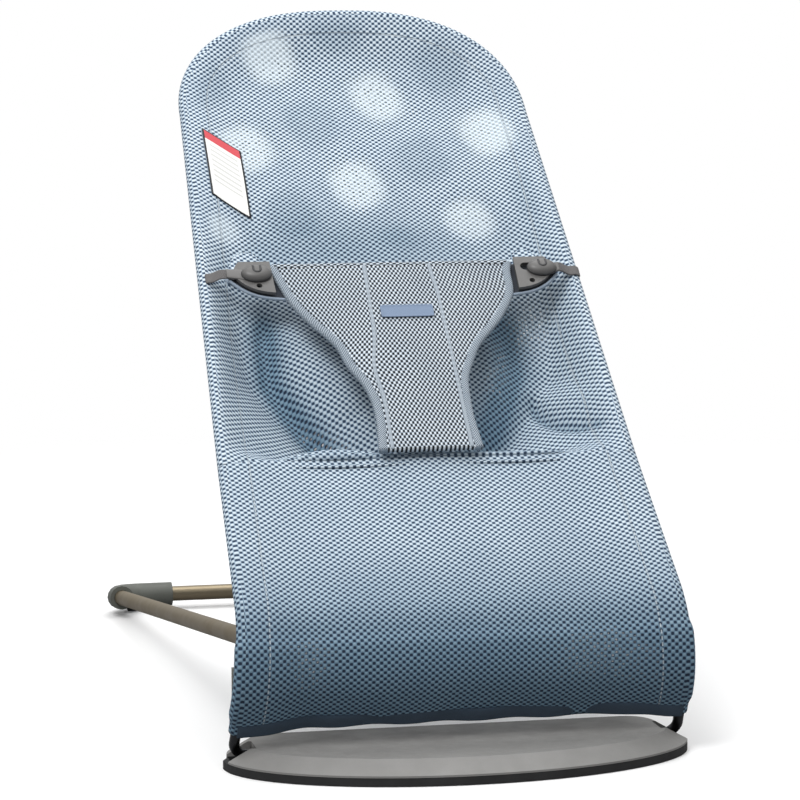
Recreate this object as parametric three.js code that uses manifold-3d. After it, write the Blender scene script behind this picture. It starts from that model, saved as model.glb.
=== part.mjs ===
// Baby bouncer seat: a sprung wire frame with a mesh cover, standing on a moulded base plate
// at the front and on a folding U-shaped tube leg at the rear.
// Millimetres, +Z up, +X to the right, the occupant faces -Y. The whole group is centred on its
// footprint, with the floor at Z = 0.
import * as THREE from 'three';
import { mergeVertices } from 'three/addons/utils/BufferGeometryUtils.js';
import Module from 'manifold-3d';

const wasm = await Module();
wasm.setup();

// ---- driving dimensions ------------------------------------------------------------------------
const GAP = 0.3;                      // play kept between touching pieces
const SIDES = { left: -1, right: 1 };

const WIRE_R = 4;                     // spring wire of the seat frame
const ROD_Z = 9.6;                    // axis of the cross rod inside the base plate
const ROD_HALF = 156;                 // half length of the straight cross rod
const ENTRY_X = 170;                  // half widths of the frame: at the plate, nose, crease, shoulder
const NOSE = { x: 165, y: -52, z: 94.4, radius: 55 };
const CREASE = { x: 159, y: 95, z: 209, radius: 200 };
const SHOULDER = { x: 145, y: 395, z: 470 };
const HEAD = { y: 463, z: 554, across: 2.5, along: 2.4, steps: 44 };  // superellipse exponents
const ENTRY_BEND = 12;
const WIRE_CUT = 1.0;                 // slit at the nose, where the flex of the wire is lumped

const PLATE = { halfX: 177, front: 90, rear: 38, cornerR: 30, top: 17, edge: 6.3, bevel: 16, skin: 3 };
const SOLE_H = 6;
const SOLE_WIDTH = 16;
const NOTCH = { fromX: 154, y0: -13, y1: 11 };
const CLAMP = { x: 96, sizeX: 26, sizeY: 40, z0: 1.6, z1: 5.9, screwY: 14 };
const SCREW_R = 1.6;

const PIVOT = { y: -8, z: 94, pinR: 4 };   // hinge of the rear leg
const HUB = { x: 147, width: 10, radius: 13, boreR: 4.4, neck: 22, plug: 24, notchDeg: 9, notchR: 1.6 };
const BRACKET = { x0: 155.6, x1: 159.5, pivotR: 14 };
const WIRE_CLAMP = { y0: -38.4, y1: -17, z0: 53, z1: 79, x1: 172.4, screwY: -21.3, screwInset: 6 };
const BRACKET_SCREW = { headX: 153.4, headR: 3, headH: 1.8, reach: 8 };
const RIVET = { headR: 6.5, headH: 3, tailH: 1.9, inset: 11 };
const LEAF = { y: -23.6, z0: 77.5, z1: 95, thick: 0.6, lean: 1.5, width: 6 };

const LEG_R = 7;                      // U leg: round tube with a 1.2 mm wall
const LEG_WALL = 1.2;
const LEG_REAR = { x: 183, y: 661, z: 14, bend: 22 };
const SLEEVE_R = 11;
const SLEEVE_SHORT = 15;              // run of the elbow sleeve along the side tube
const SLEEVE_LONG = 30;               // and along the crossbar
const PAD = { length: 26, width: 12, height: 4.2 };

const COVER_T = 4;                    // thickness of the cover stand-ins
const COVER_INSET = 7.5;              // cover edge to wire centre
const COVER_FACE = 5;                 // face of the real cloth in front of the wire centre
const HEM_FROM = 26;                  // hem of the front panel: length up the riser
const FRONT_HALF = 151;
const PANEL_SAG = 6;
const POUCH_DEPTH = 62;

const HARNESS = { off: 5, thick: 5, tiltDeg: 2.2, top: 204 };
const EYE = { thick: 3, x0: 99.6, x1: 131, slotR: 4.2, holeR: 2.4 };
const KNOB = { x: 117, s: 194, capA: 12.5, capB: 9, capH: 5.2, stemR: 3.6, travel: 8 };
const STRAP = { s: 200, width: 10, thick: 2 };
const TAG = { s: 150, halfX: 21, halfS: 5.5, thick: 1 };
const LABEL = { x0: -134, x1: -105, s0: 275, s1: 383, rise: 24, thick: 0.8 };

// ---- materials ---------------------------------------------------------------------------------
const material = (color, roughness, metalness = 0) =>
  new THREE.MeshStandardMaterial({ color, roughness, metalness });
const FINISH = {
  plate: () => material(0x7f7d7a, 0.55),
  rubber: () => material(0x1d1d1e, 0.8),
  wire: () => material(0x3a3b3d, 0.35, 0.9),
  tube: () => material(0xb09f80, 0.35, 0.85),
  sleeve: () => material(0x595a55, 0.6),
  steel: () => material(0x9a9c9e, 0.3, 0.95),
  mesh: () => material(0x7f9fc4, 0.9),
  harness: () => material(0xa9bbcb, 0.9),
  clip: () => material(0x8f8b86, 0.5),
  strap: () => material(0x8a8784, 0.85),
  label: () => material(0xe9e8e4, 0.7),
  tag: () => material(0x9fb3d6, 0.8),
};

// ---- helpers -----------------------------------------------------------------------------------
const bouncer = new THREE.Group();

function add(name, geometry, finish) {
  const mesh = new THREE.Mesh(geometry, FINISH[finish]());
  mesh.name = name;
  bouncer.add(mesh);
  return mesh;
}

/** A closed geometry as a manifold solid. */
function solid(geometry) {
  const bare = geometry.clone();
  bare.deleteAttribute('normal');
  bare.deleteAttribute('uv');
  const merged = mergeVertices(bare, 1e-4);
  const mesh = new wasm.Mesh({
    numProp: 3,
    vertProperties: new Float32Array(merged.attributes.position.array),
    triVerts: new Uint32Array(merged.index.array),
  });
  return new wasm.Manifold(mesh);
}

/** A manifold solid back as a geometry. */
function geometryOf(shape) {
  const mesh = shape.getMesh();
  const geometry = new THREE.BufferGeometry();
  geometry.setAttribute('position', new THREE.BufferAttribute(mesh.vertProperties, 3));
  geometry.setIndex(new THREE.BufferAttribute(mesh.triVerts, 1));
  geometry.computeVertexNormals();
  return geometry;
}

/** A box given by its low and high corners. */
function block(x0, y0, z0, x1, y1, z1) {
  const box = new THREE.BoxGeometry(x1 - x0, y1 - y0, z1 - z0);
  return box.translate((x0 + x1) / 2, (y0 + y1) / 2, (z0 + z1) / 2);
}

/** A cylinder along X from x0 to x1, centred on (y, z). */
function rodX(radius, x0, x1, y, z, segments = 24) {
  const rod = new THREE.CylinderGeometry(radius, radius, x1 - x0, segments);
  return rod.rotateZ(Math.PI / 2).translate((x0 + x1) / 2, y, z);
}

/** A cylinder between two points. */
function rodBetween(radius, from, to, segments = 16) {
  const run = to.clone().sub(from);
  const rod = new THREE.CylinderGeometry(radius, radius, run.length(), segments);
  const turn = new THREE.Quaternion().setFromUnitVectors(new THREE.Vector3(0, 1, 0), run.clone().normalize());
  return rod.applyQuaternion(turn).translate(...from.clone().add(to).multiplyScalar(0.5).toArray());
}

/** Part of a round bend: a circular arc that leaves `start` along `into` and turns by `angle`. */
class RoundBend extends THREE.Curve {
  constructor(start, into, out, radius) {
    super();
    this.angle = into.angleTo(out);
    this.radius = radius;
    this.into = into;
    this.inward = out.clone().addScaledVector(into, -Math.cos(this.angle)).normalize();
    this.centre = start.clone().addScaledVector(this.inward, radius);
  }

  getPoint(t) {
    const a = this.angle * t;
    return this.centre.clone()
      .addScaledVector(this.inward, -this.radius * Math.cos(a))
      .addScaledVector(this.into, this.radius * Math.sin(a));
  }
}

/** Straight stretches joined by round bends, one radius for each inner point. */
function bentPath(points, radii) {
  const path = new THREE.CurvePath();
  let from = points[0];
  radii.forEach((radius, i) => {
    const corner = points[i + 1];
    const into = corner.clone().sub(points[i]).normalize();
    const out = points[i + 2].clone().sub(corner).normalize();
    const reach = radius * Math.tan(into.angleTo(out) / 2);
    const start = corner.clone().addScaledVector(into, -reach);
    path.add(new THREE.LineCurve3(from, start));
    path.add(new RoundBend(start, into, out, radius));
    from = corner.clone().addScaledVector(out, reach);
  });
  path.add(new THREE.LineCurve3(from, points.at(-1)));
  path.getPointAt = path.getPoint;      // a CurvePath already runs by length
  path.getTangentAt = path.getTangent;
  return path;
}

/** A curve from one length to another, with a ring of points only where it starts, ends or bends. */
class Run extends THREE.Curve {
  constructor(curve, from = 0, to = curve.getLength(), bendStep = 0.16) {
    super();
    this.curve = curve;
    this.total = curve.getLength();
    this.knots = [from];
    let at = 0;
    for (const piece of curve.curves) {
      const length = piece.getLength();
      const count = piece.angle ? Math.ceil(piece.angle / bendStep) : 1;
      for (let k = 1; k <= count; k++) {
        const d = at + length * k / count;
        if (d > from + 0.5 && d < to - 0.5) this.knots.push(d);
      }
      at += length;
    }
    this.knots.push(to);
    this.steps = this.knots.length - 1;
  }

  getPointAt(u) {
    return this.curve.getPoint(this.knots[Math.round(u * this.steps)] / this.total);
  }

  getTangentAt(u) {
    return this.curve.getTangent(this.knots[Math.round(u * this.steps)] / this.total);
  }
}

/** A round bar or, with a bore, a tube along a path. */
function tube(path, radius, sides = 10, boreR = 0, steps = path.steps) {
  const section = new THREE.Shape().absarc(0, 0, radius, 0, 2 * Math.PI);
  if (boreR > 0) {
    section.holes.push(new THREE.Path().absarc(0, 0, boreR, 0, 2 * Math.PI, true));
  }
  const options = { steps, curveSegments: sides / 2, extrudePath: path, bevelEnabled: false };
  return new THREE.ExtrudeGeometry(section, options);
}

/** A closed sheet: a thin box whose points (u -1..1, v 0..1, side -1..1) are put in place by a function. */
function sheet(columns, rows, place) {
  const box = new THREE.BoxGeometry(2, 1, 2, columns, rows, 1);
  const at = box.attributes.position;
  for (let i = 0; i < at.count; i++) {
    at.setXYZ(i, ...place(at.getX(i), at.getY(i) + 0.5, at.getZ(i)).toArray());
  }
  return box;
}

// ---- the line of the wire frame ----------------------------------------------------------------
/** Right-hand side of the frame, from the cross rod up to the shoulder; the left is its mirror. */
function sideLine(side) {
  const at = (x, y, z) => new THREE.Vector3(side * x, y, z);
  return bentPath(
    [at(ROD_HALF + GAP, 0, ROD_Z), at(ENTRY_X, 0, ROD_Z), at(NOSE.x, NOSE.y, NOSE.z),
      at(CREASE.x, CREASE.y, CREASE.z), at(SHOULDER.x, SHOULDER.y, SHOULDER.z)],
    [ENTRY_BEND, NOSE.radius, CREASE.radius]);
}

/** Rounded top of the frame: a superellipse bent forward, from side -1 to side 1 over t. */
class HeadArch extends THREE.Curve {
  constructor(trim = 0) {
    super();
    this.trim = trim;
    this.arcLengthDivisions = 600;
  }

  getPoint(t) {
    const a = Math.PI * THREE.MathUtils.lerp(this.trim, 1 - this.trim, t);
    const up = Math.sin(a) ** (2 / HEAD.along);
    const across = Math.abs(Math.cos(a)) ** (2 / HEAD.across) * Math.sign(-Math.cos(a));
    const rise = Math.hypot(HEAD.y - SHOULDER.y, HEAD.z - SHOULDER.z);
    const lean = Math.atan2(SHOULDER.z - CREASE.z, SHOULDER.y - CREASE.y);
    const y = [SHOULDER.y, SHOULDER.y + rise / 2 * Math.cos(lean), HEAD.y];
    const z = [SHOULDER.z, SHOULDER.z + rise / 2 * Math.sin(lean), HEAD.z];
    const quadratic = ([p, q, r]) => (1 - up) ** 2 * p + 2 * up * (1 - up) * q + up ** 2 * r;
    return new THREE.Vector3(SHOULDER.x * across, quadratic(y), quadratic(z));
  }
}

const RIGHT = sideLine(1);
const spans = RIGHT.curves.map((curve) => curve.getLength());
const sum = (list) => list.reduce((a, b) => a + b, 0);
const NOSE_AT = sum(spans.slice(0, 3)) + spans[3] / 2;      // middle of the nose bend
const CREASE_AT = sum(spans.slice(0, 5)) + spans[5] / 2;
const SIDE_LENGTH = RIGHT.getLength();
const BACK = new THREE.Vector3(0, SHOULDER.y - CREASE.y, SHOULDER.z - CREASE.z).normalize();
const FRONT = new THREE.Vector3(0, -BACK.z, BACK.y);        // out of the seat, towards the occupant
const SEAT_TURN = Math.atan2(BACK.z, BACK.y);

/** A point s up the backrest from the crease and `off` out of the plane of the side wires. */
function onSeat(x, s, off) {
  return new THREE.Vector3(x, CREASE.y, CREASE.z).addScaledVector(BACK, s).addScaledVector(FRONT, off);
}

/** Puts a piece drawn in the plane of the seat (x across, y up the back, z out) in its place. */
function toSeat(geometry, tilt = 0) {
  return geometry.rotateX(SEAT_TURN + tilt).translate(0, CREASE.y, CREASE.z);
}

// ---- wire frame --------------------------------------------------------------------------------
function wireFrame() {
  add('cross_rod', rodX(WIRE_R, -ROD_HALF, ROD_HALF, 0, ROD_Z, 12), 'wire');
  for (const [name, side] of Object.entries(SIDES)) {
    const line = sideLine(side);
    add(`riser_wire_${name}`, tube(new Run(line, 0, NOSE_AT - WIRE_CUT / 2), WIRE_R), 'wire');
    const top = SIDE_LENGTH - GAP / 2;
    add(`side_wire_${name}`, tube(new Run(line, NOSE_AT + WIRE_CUT / 2, top), WIRE_R), 'wire');
  }
  add('headrest_wire', tube(new HeadArch(GAP / 400), WIRE_R, 10, 0, HEAD.steps), 'wire');
}

// ---- base plate --------------------------------------------------------------------------------
/** D-shaped outline: half ellipse at the front, straight rear edge with round corners. */
function plateShape(inset) {
  const halfX = PLATE.halfX - inset;
  const rear = PLATE.rear - inset;
  const corner = PLATE.cornerR - inset / 2;
  const outline = new THREE.Shape();
  outline.moveTo(halfX, 0);
  outline.lineTo(halfX - 4, rear - corner);
  outline.quadraticCurveTo(halfX - 6, rear, halfX - corner, rear);
  outline.lineTo(corner - halfX, rear);
  outline.quadraticCurveTo(6 - halfX, rear, 4 - halfX, rear - corner);
  outline.lineTo(-halfX, 0);
  outline.absellipse(0, 0, halfX, PLATE.front - inset, Math.PI, 2 * Math.PI);
  return outline;
}

function plateSlab(inset, z0, z1) {
  const options = { depth: z1 - z0, bevelEnabled: false, curveSegments: 24 };
  return new THREE.ExtrudeGeometry(plateShape(inset), options).translate(0, 0, z0);
}

/** The plate's outer body: upright rim, then a bevel that runs in to the flat top. */
function plateBody() {
  const rim = plateSlab(0, PLATE.edge, PLATE.top);
  const at = rim.attributes.position;
  const rimHeight = PLATE.edge + 1.5;
  const lower = plateSlab(0, PLATE.edge, rimHeight);
  for (let i = 0; i < at.count; i++) {
    if (at.getZ(i) < (PLATE.edge + PLATE.top) / 2) {
      at.setZ(i, rimHeight - 0.01);
    } else {
      at.setX(i, at.getX(i) * (1 - PLATE.bevel / PLATE.halfX));
      const y = at.getY(i);
      at.setY(i, y * (1 - (y < 0 ? PLATE.bevel / PLATE.front : 4 / PLATE.rear)));
    }
  }
  return solid(lower).add(solid(rim));
}

function basePlate() {
  const rodRibs = 11;
  const hollowTop = PLATE.top - PLATE.skin;
  let pocket = solid(plateSlab(SOLE_WIDTH, PLATE.edge - 1, hollowTop));
  pocket = pocket.subtract(solid(block(-200, -rodRibs, 0, 200, rodRibs, 20)));
  for (const x of [-120, -70, -24, 24, 70, 120]) {
    pocket = pocket.subtract(solid(block(x - 1.5, -100, 0, x + 1.5, 100, 20)));
  }
  let plate = plateBody().subtract(pocket);
  const channel = WIRE_R + 2 * GAP;
  plate = plate.subtract(solid(block(-ROD_HALF - 4, -channel, 0, ROD_HALF + 4, channel, ROD_Z + channel)));
  for (const side of Object.values(SIDES)) {
    const [near, far] = [side * NOTCH.fromX, side * 200].sort((a, b) => a - b);
    plate = plate.subtract(solid(block(near, NOTCH.y0, 0, far, NOTCH.y1, 40)));
    for (const end of [-1, 1]) {
      const boss = new THREE.CylinderGeometry(5, 5, hollowTop - PLATE.edge, 16).rotateX(Math.PI / 2);
      boss.translate(side * CLAMP.x, end * CLAMP.screwY, (hollowTop + PLATE.edge) / 2);
      plate = plate.add(solid(boss));
      const hole = new THREE.CylinderGeometry(SCREW_R + GAP, SCREW_R + GAP, 14, 12).rotateX(Math.PI / 2);
      plate = plate.subtract(solid(hole.translate(side * CLAMP.x, end * CLAMP.screwY, 7)));
    }
  }
  add('base_plate', geometryOf(plate), 'plate');
}

function baseSole() {
  let sole = solid(plateSlab(0, 0, SOLE_H));
  sole = sole.subtract(solid(plateSlab(SOLE_WIDTH, -1, SOLE_H + 1)));
  for (const side of Object.values(SIDES)) {
    const [near, far] = [side * (NOTCH.fromX - 6), side * 172].sort((a, b) => a - b);
    sole = sole.subtract(solid(block(near, NOTCH.y0, 2.5, far, NOTCH.y1, 10)));
  }
  add('base_sole', geometryOf(sole), 'rubber');
}

/** Saddles under the cross rod, each held by two screws. */
function rodSaddles() {
  for (const [name, side] of Object.entries(SIDES)) {
    const x = side * CLAMP.x;
    const [dx, dy] = [CLAMP.sizeX / 2, CLAMP.sizeY / 2];
    let saddle = solid(block(x - dx, -dy, CLAMP.z0, x + dx, dy, CLAMP.z1));
    saddle = saddle.subtract(solid(rodX(WIRE_R + GAP, x - 20, x + 20, 0, ROD_Z, 24)));
    for (const end of [-1, 1]) {
      const hole = new THREE.CylinderGeometry(SCREW_R + GAP, SCREW_R + GAP, 20, 12).rotateX(Math.PI / 2);
      saddle = saddle.subtract(solid(hole.translate(x, end * CLAMP.screwY, 5)));
      const shank = [[0, 0.4], [2.8, 0.4], [2.8, 1.2], [SCREW_R, 1.3], [SCREW_R, 12.6], [0, 13.2]];
      const points = shank.map(([r, h]) => new THREE.Vector2(r, h));
      const screw = new THREE.LatheGeometry(points, 12).rotateX(Math.PI / 2);
      const place = end < 0 ? 'front' : 'rear';
      add(`saddle_screw_${name}_${place}`, screw.translate(x, end * CLAMP.screwY, 0), 'steel');
    }
    add(`rod_saddle_${name}`, geometryOf(saddle), 'sleeve');
  }
}

// ---- hinge brackets of the rear leg ------------------------------------------------------------
/** The leg's own line on one side: from the pivot to the rear corner. */
function legEnds(side) {
  return [new THREE.Vector3(side * HUB.x, PIVOT.y, PIVOT.z),
    new THREE.Vector3(side * LEG_REAR.x, LEG_REAR.y, LEG_REAR.z)];
}

/** Orders two X values that were given for the right-hand side. */
function across(side, x0, x1) {
  return side > 0 ? [x0, x1] : [-x1, -x0];
}

/** Turns a shape drawn as (y, z) into a plate of the given thickness that starts at x0. */
function plateX(shape, x0, thick) {
  const plate = new THREE.ExtrudeGeometry(shape, { depth: thick, bevelEnabled: false, curveSegments: 16 });
  const axes = [[0, 1, 0], [0, 0, 1], [1, 0, 0]].map((axis) => new THREE.Vector3(...axis));
  return plate.applyMatrix4(new THREE.Matrix4().makeBasis(...axes)).translate(x0, 0, 0);
}

/** A solid of revolution about X from (radius, distance) points, starting at side * x. */
function turnedX(profile, side, x, y, z, segments) {
  const points = profile.map(([r, h]) => new THREE.Vector2(r, h));
  const body = new THREE.LatheGeometry(points, segments);
  return body.rotateZ(-side * Math.PI / 2).translate(side * x, y, z);
}

/** All the space in front of the cover beside the risers, where nothing fixed to them may stand. */
function spaceBeforeCover() {
  const outline = new THREE.Shape();
  outline.moveTo(-120, 20);
  for (let d = 20; d < NOSE_AT + 20; d += 4) {
    const { point, up } = frameEdge(d, 0);
    outline.lineTo(point.y - up.z * COVER_FACE, point.z + up.y * COVER_FACE);
  }
  outline.lineTo(-120, 120);
  return solid(plateX(outline, -200, 400));
}

function hingeBrackets() {
  const before = spaceBeforeCover();
  const { y0, y1, z0, z1, screwY, screwInset } = WIRE_CLAMP;
  for (const [name, side] of Object.entries(SIDES)) {
    const riser = solid(tube(new Run(sideLine(side)), WIRE_R + GAP, 12));
    const [p0, p1] = across(side, BRACKET.x0, BRACKET.x1);
    const [c0, c1] = across(side, BRACKET.x1 + GAP, WIRE_CLAMP.x1);

    const outline = new THREE.Shape();
    outline.moveTo(y0, z0);
    outline.lineTo(y1, z0);
    outline.lineTo(PIVOT.y + BRACKET.pivotR * 0.8, PIVOT.z - BRACKET.pivotR * 0.6);
    outline.absarc(PIVOT.y, PIVOT.z, BRACKET.pivotR, -0.64, 1.9);
    outline.lineTo(y0, z1);
    let plate = solid(plateX(outline, p0, p1 - p0)).subtract(before);
    plate = plate.subtract(solid(rodX(PIVOT.pinR + GAP, p0 - 5, p1 + 5, PIVOT.y, PIVOT.z)));

    let clamp = solid(block(c0, y0, z0, c1, y1, z1)).subtract(riser).subtract(before);
    const { headX, headR, headH, reach } = BRACKET_SCREW;
    const tip = BRACKET.x1 + reach - headX;
    const profile = [[0, 0], [headR, 0], [headR, headH], [SCREW_R, headH], [SCREW_R, tip], [0, tip + 0.2]];
    [z0 + screwInset, z1 - screwInset].forEach((z, i) => {
      plate = plate.subtract(solid(rodX(SCREW_R + GAP, p0 - 5, p1 + 5, screwY, z, 12)));
      const [h0, h1] = across(side, BRACKET.x1 - 1, BRACKET.x1 + reach + 1);
      clamp = clamp.subtract(solid(rodX(SCREW_R + GAP, h0, h1, screwY, z, 12)));
      add(`bracket_screw_${name}_${i + 1}`, turnedX(profile, side, headX, screwY, z, 12), 'steel');
    });
    add(`hinge_bracket_${name}`, geometryOf(plate), 'steel');
    add(`wire_clamp_${name}`, geometryOf(clamp), 'sleeve');

    const head = HUB.x - RIVET.inset;
    const shank = BRACKET.x1 + GAP - head;
    const rivet = [[0, 0], [RIVET.headR, 0], [RIVET.headR, RIVET.headH], [PIVOT.pinR, RIVET.headH],
      [PIVOT.pinR, shank], [RIVET.headR, shank], [RIVET.headR, shank + RIVET.tailH], [0, shank + RIVET.tailH]];
    add(`pivot_rivet_${name}`, turnedX(rivet, side, head, PIVOT.y, PIVOT.z, 24), 'steel');

    const leaf = new THREE.Shape();
    leaf.moveTo(LEAF.y, LEAF.z0);
    leaf.lineTo(LEAF.y + LEAF.thick, LEAF.z0);
    leaf.lineTo(LEAF.y + LEAF.thick + LEAF.lean, LEAF.z1);
    leaf.lineTo(LEAF.y + LEAF.lean, LEAF.z1);
    const [s0] = across(side, BRACKET.x0 - GAP - LEAF.width, BRACKET.x0 - GAP);
    add(`detent_spring_${name}`, plateX(leaf, s0, LEAF.width), 'steel');
  }
}

// ---- rear leg ----------------------------------------------------------------------------------
function legHubs() {
  for (const [name, side] of Object.entries(SIDES)) {
    const [pivot, corner] = legEnds(side);
    const run = corner.clone().sub(pivot).normalize();
    const along = (d) => pivot.clone().addScaledVector(run, d);
    const [x0, x1] = across(side, HUB.x - HUB.width / 2, HUB.x + HUB.width / 2);
    let hub = solid(rodX(HUB.radius, x0, x1, PIVOT.y, PIVOT.z, 32));
    hub = hub.add(solid(rodBetween(LEG_R, along(4), along(HUB.neck))));
    hub = hub.add(solid(rodBetween(LEG_R - LEG_WALL - GAP, along(HUB.neck - 1), along(HUB.neck + HUB.plug))));
    hub = hub.subtract(solid(rodX(HUB.boreR, x0 - 5, x1 + 5, PIVOT.y, PIVOT.z)));
    for (const step of [0, 1, 2]) {
      const a = THREE.MathUtils.degToRad(186 - step * HUB.notchDeg * 2);
      const [y, z] = [PIVOT.y + HUB.radius * Math.cos(a), PIVOT.z + HUB.radius * Math.sin(a)];
      hub = hub.subtract(solid(rodX(HUB.notchR, x0 - 5, x1 + 5, y, z, 12)));
    }
    add(`leg_hub_${name}`, geometryOf(hub), 'sleeve');
  }
}

/** Centre line round one rear corner, seen from the side tube towards the crossbar. */
function cornerLine(side, before, after) {
  const [pivot, corner] = legEnds(side);
  const back = pivot.clone().sub(corner).normalize();
  const inner = new THREE.Vector3(-side, 0, 0);
  const turn = LEG_REAR.bend / Math.tan(back.angleTo(inner) / 2);
  const start = corner.clone().addScaledVector(back, turn + before);
  const end = corner.clone().addScaledVector(inner, turn + after);
  return bentPath([start, corner, end], [LEG_REAR.bend]);
}

function rearLeg() {
  const [rightPivot, rightCorner] = legEnds(1);
  const up = rightPivot.clone().sub(rightCorner).normalize();
  const turn = LEG_REAR.bend / Math.tan(up.angleTo(new THREE.Vector3(-1, 0, 0)) / 2);
  const mirror = (v) => new THREE.Vector3(-v.x, v.y, v.z);
  const end = rightCorner.clone().addScaledVector(up, turn + 2);
  const bar = bentPath([mirror(end), mirror(rightCorner), rightCorner, end], [LEG_REAR.bend, LEG_REAR.bend]);
  add('rear_crossbar', tube(new Run(bar, 0, bar.getLength(), 0.26), LEG_R, 12, LEG_R - LEG_WALL), 'tube');

  for (const [name, side] of Object.entries(SIDES)) {
    const [pivot, corner] = legEnds(side);
    const run = corner.clone().sub(pivot).normalize();
    const start = pivot.clone().addScaledVector(run, HUB.neck + GAP);
    const stop = corner.clone().addScaledVector(run, -(turn + 2 + GAP));
    add(`leg_tube_${name}`, tube(new THREE.LineCurve3(start, stop), LEG_R, 12, LEG_R - LEG_WALL, 1), 'tube');

    const outer = solid(tube(new Run(cornerLine(side, SLEEVE_SHORT, SLEEVE_LONG)), SLEEVE_R, 16));
    const inner = solid(tube(new Run(cornerLine(side, SLEEVE_SHORT + 8, SLEEVE_LONG + 8)), LEG_R + GAP, 12));
    const padX = side * (LEG_REAR.x - 24);
    const padY = LEG_REAR.y;
    const padBlock = (play, z0, z1) => {
      const [dx, dy] = [PAD.length / 2 + play, PAD.width / 2 + play];
      return block(padX - dx, padY - dy, z0, padX + dx, padY + dy, z1);
    };
    const sleeve = outer.subtract(inner).subtract(solid(padBlock(GAP, -1, PAD.height + GAP)));
    add(`elbow_sleeve_${name}`, geometryOf(sleeve), 'sleeve');
    add(`floor_pad_${name}`, padBlock(0, 0, PAD.height), 'rubber');
  }
}

// ---- cover -------------------------------------------------------------------------------------
/** Right-hand edge of the cover at length d along the frame: the point, and the way up the seat. */
const ARCH = new HeadArch();
const ARCH_LENGTH = ARCH.getLength() / 2;

function frameEdge(d, inset) {
  const onArch = d > SIDE_LENGTH;
  const curve = onArch ? ARCH : RIGHT;
  const t = onArch ? 1 - (d - SIDE_LENGTH) / ARCH_LENGTH / 2 : d / SIDE_LENGTH;
  const point = curve.getPointAt(t);
  const heading = curve.getTangentAt(t).multiplyScalar(onArch ? -1 : 1);
  const rise = Math.hypot(heading.y, heading.z);
  const up = new THREE.Vector3(0, heading.y, heading.z).normalize();
  point.x -= inset * rise;
  point.addScaledVector(up, inset * heading.x);
  return { point, up };
}

/** A panel between the side wires from length d0 to d1, sagging to the rear by sag(v) at mid width. */
function coverPanel(d0, d1, columns, rows, inset, sag, thickness = COVER_T) {
  return sheet(columns, rows, (u, v, face) => {
    const { point, up } = frameEdge(THREE.MathUtils.lerp(d0, d1, v), inset);
    const rear = new THREE.Vector3(0, up.z, -up.y);
    const x = u * point.x;
    return new THREE.Vector3(x, point.y, point.z)
      .addScaledVector(rear, sag(v) * (1 - u * u) - face * thickness / 2);
  });
}

const BACK_END = SIDE_LENGTH + ARCH_LENGTH * 0.78;
const pouchSag = (v) => PANEL_SAG + POUCH_DEPTH * (1 - v) ** 1.6 * THREE.MathUtils.smoothstep(v, 0, 0.13);

function cover() {
  const frontInset = NOSE.x - FRONT_HALF;
  add('cover_front_panel', coverPanel(HEM_FROM, NOSE_AT - 1, 8, 8, frontInset, () => PANEL_SAG), 'mesh');
  add('cover_leg_panel', coverPanel(NOSE_AT + 1, CREASE_AT - GAP, 8, 12, COVER_INSET, () => PANEL_SAG), 'mesh');
  add('cover_back_panel', coverPanel(CREASE_AT + GAP, BACK_END, 12, 24, COVER_INSET, pouchSag), 'mesh');
}

// ---- harness -----------------------------------------------------------------------------------
const HARNESS_TILT = THREE.MathUtils.degToRad(HARNESS.tiltDeg);

/** How far the harness stands off the plane of the wires at height s, at its rear face. */
const harnessOff = (s) => HARNESS.off + s * Math.tan(HARNESS_TILT);

function harnessPanel() {
  const half = [[40, 5], [37, 40], [39, 78], [54, 112], [77, 140], [97, 168]];
  const outline = new THREE.Shape();
  outline.moveTo(half[0][0], half[0][1]);
  outline.splineThru(half.slice(1).map(([x, s]) => new THREE.Vector2(x, s)));
  outline.lineTo(99, HARNESS.top - 18);
  outline.lineTo(90, HARNESS.top);
  outline.lineTo(-90, HARNESS.top);
  outline.lineTo(-99, HARNESS.top - 18);
  outline.lineTo(-97, 168);
  outline.splineThru(half.slice(0, -1).reverse().map(([x, s]) => new THREE.Vector2(-x, s)));
  const panel = new THREE.ExtrudeGeometry(outline, { depth: HARNESS.thick, bevelEnabled: false, curveSegments: 4 });
  add('harness_panel', toSeat(panel.translate(0, 0, HARNESS.off), HARNESS_TILT), 'harness');
  const tag = block(-TAG.halfX, TAG.s - TAG.halfS, 0, TAG.halfX, TAG.s + TAG.halfS, TAG.thick);
  const tagOff = HARNESS.off + HARNESS.thick + GAP;
  add('harness_tag', toSeat(tag.translate(0, 0, tagOff), HARNESS_TILT), 'tag');
}

/** Right-hand eye plate, centred on its mid plane: a rounded tab with a slot and a small hole. */
function eyePlate() {
  const plate = new THREE.Shape();
  plate.moveTo(EYE.x0, 170);
  plate.quadraticCurveTo(122, 172, EYE.x1, 190);
  plate.quadraticCurveTo(EYE.x1 + 1, 198, 126, 205);
  plate.lineTo(EYE.x0 + 1, 205);
  const slot = new THREE.Path();
  slot.absarc(KNOB.x, KNOB.s, EYE.slotR, -Math.PI / 2, Math.PI / 2);
  slot.absarc(KNOB.x - KNOB.travel, KNOB.s, EYE.slotR, Math.PI / 2, 1.5 * Math.PI);
  plate.holes.push(slot, new THREE.Path().absarc(112, 178, EYE.holeR, 0, 2 * Math.PI));
  const eye = new THREE.ExtrudeGeometry(plate, { depth: EYE.thick, bevelEnabled: false, curveSegments: 8 });
  return eye.translate(0, 0, -EYE.thick / 2);
}

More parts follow.
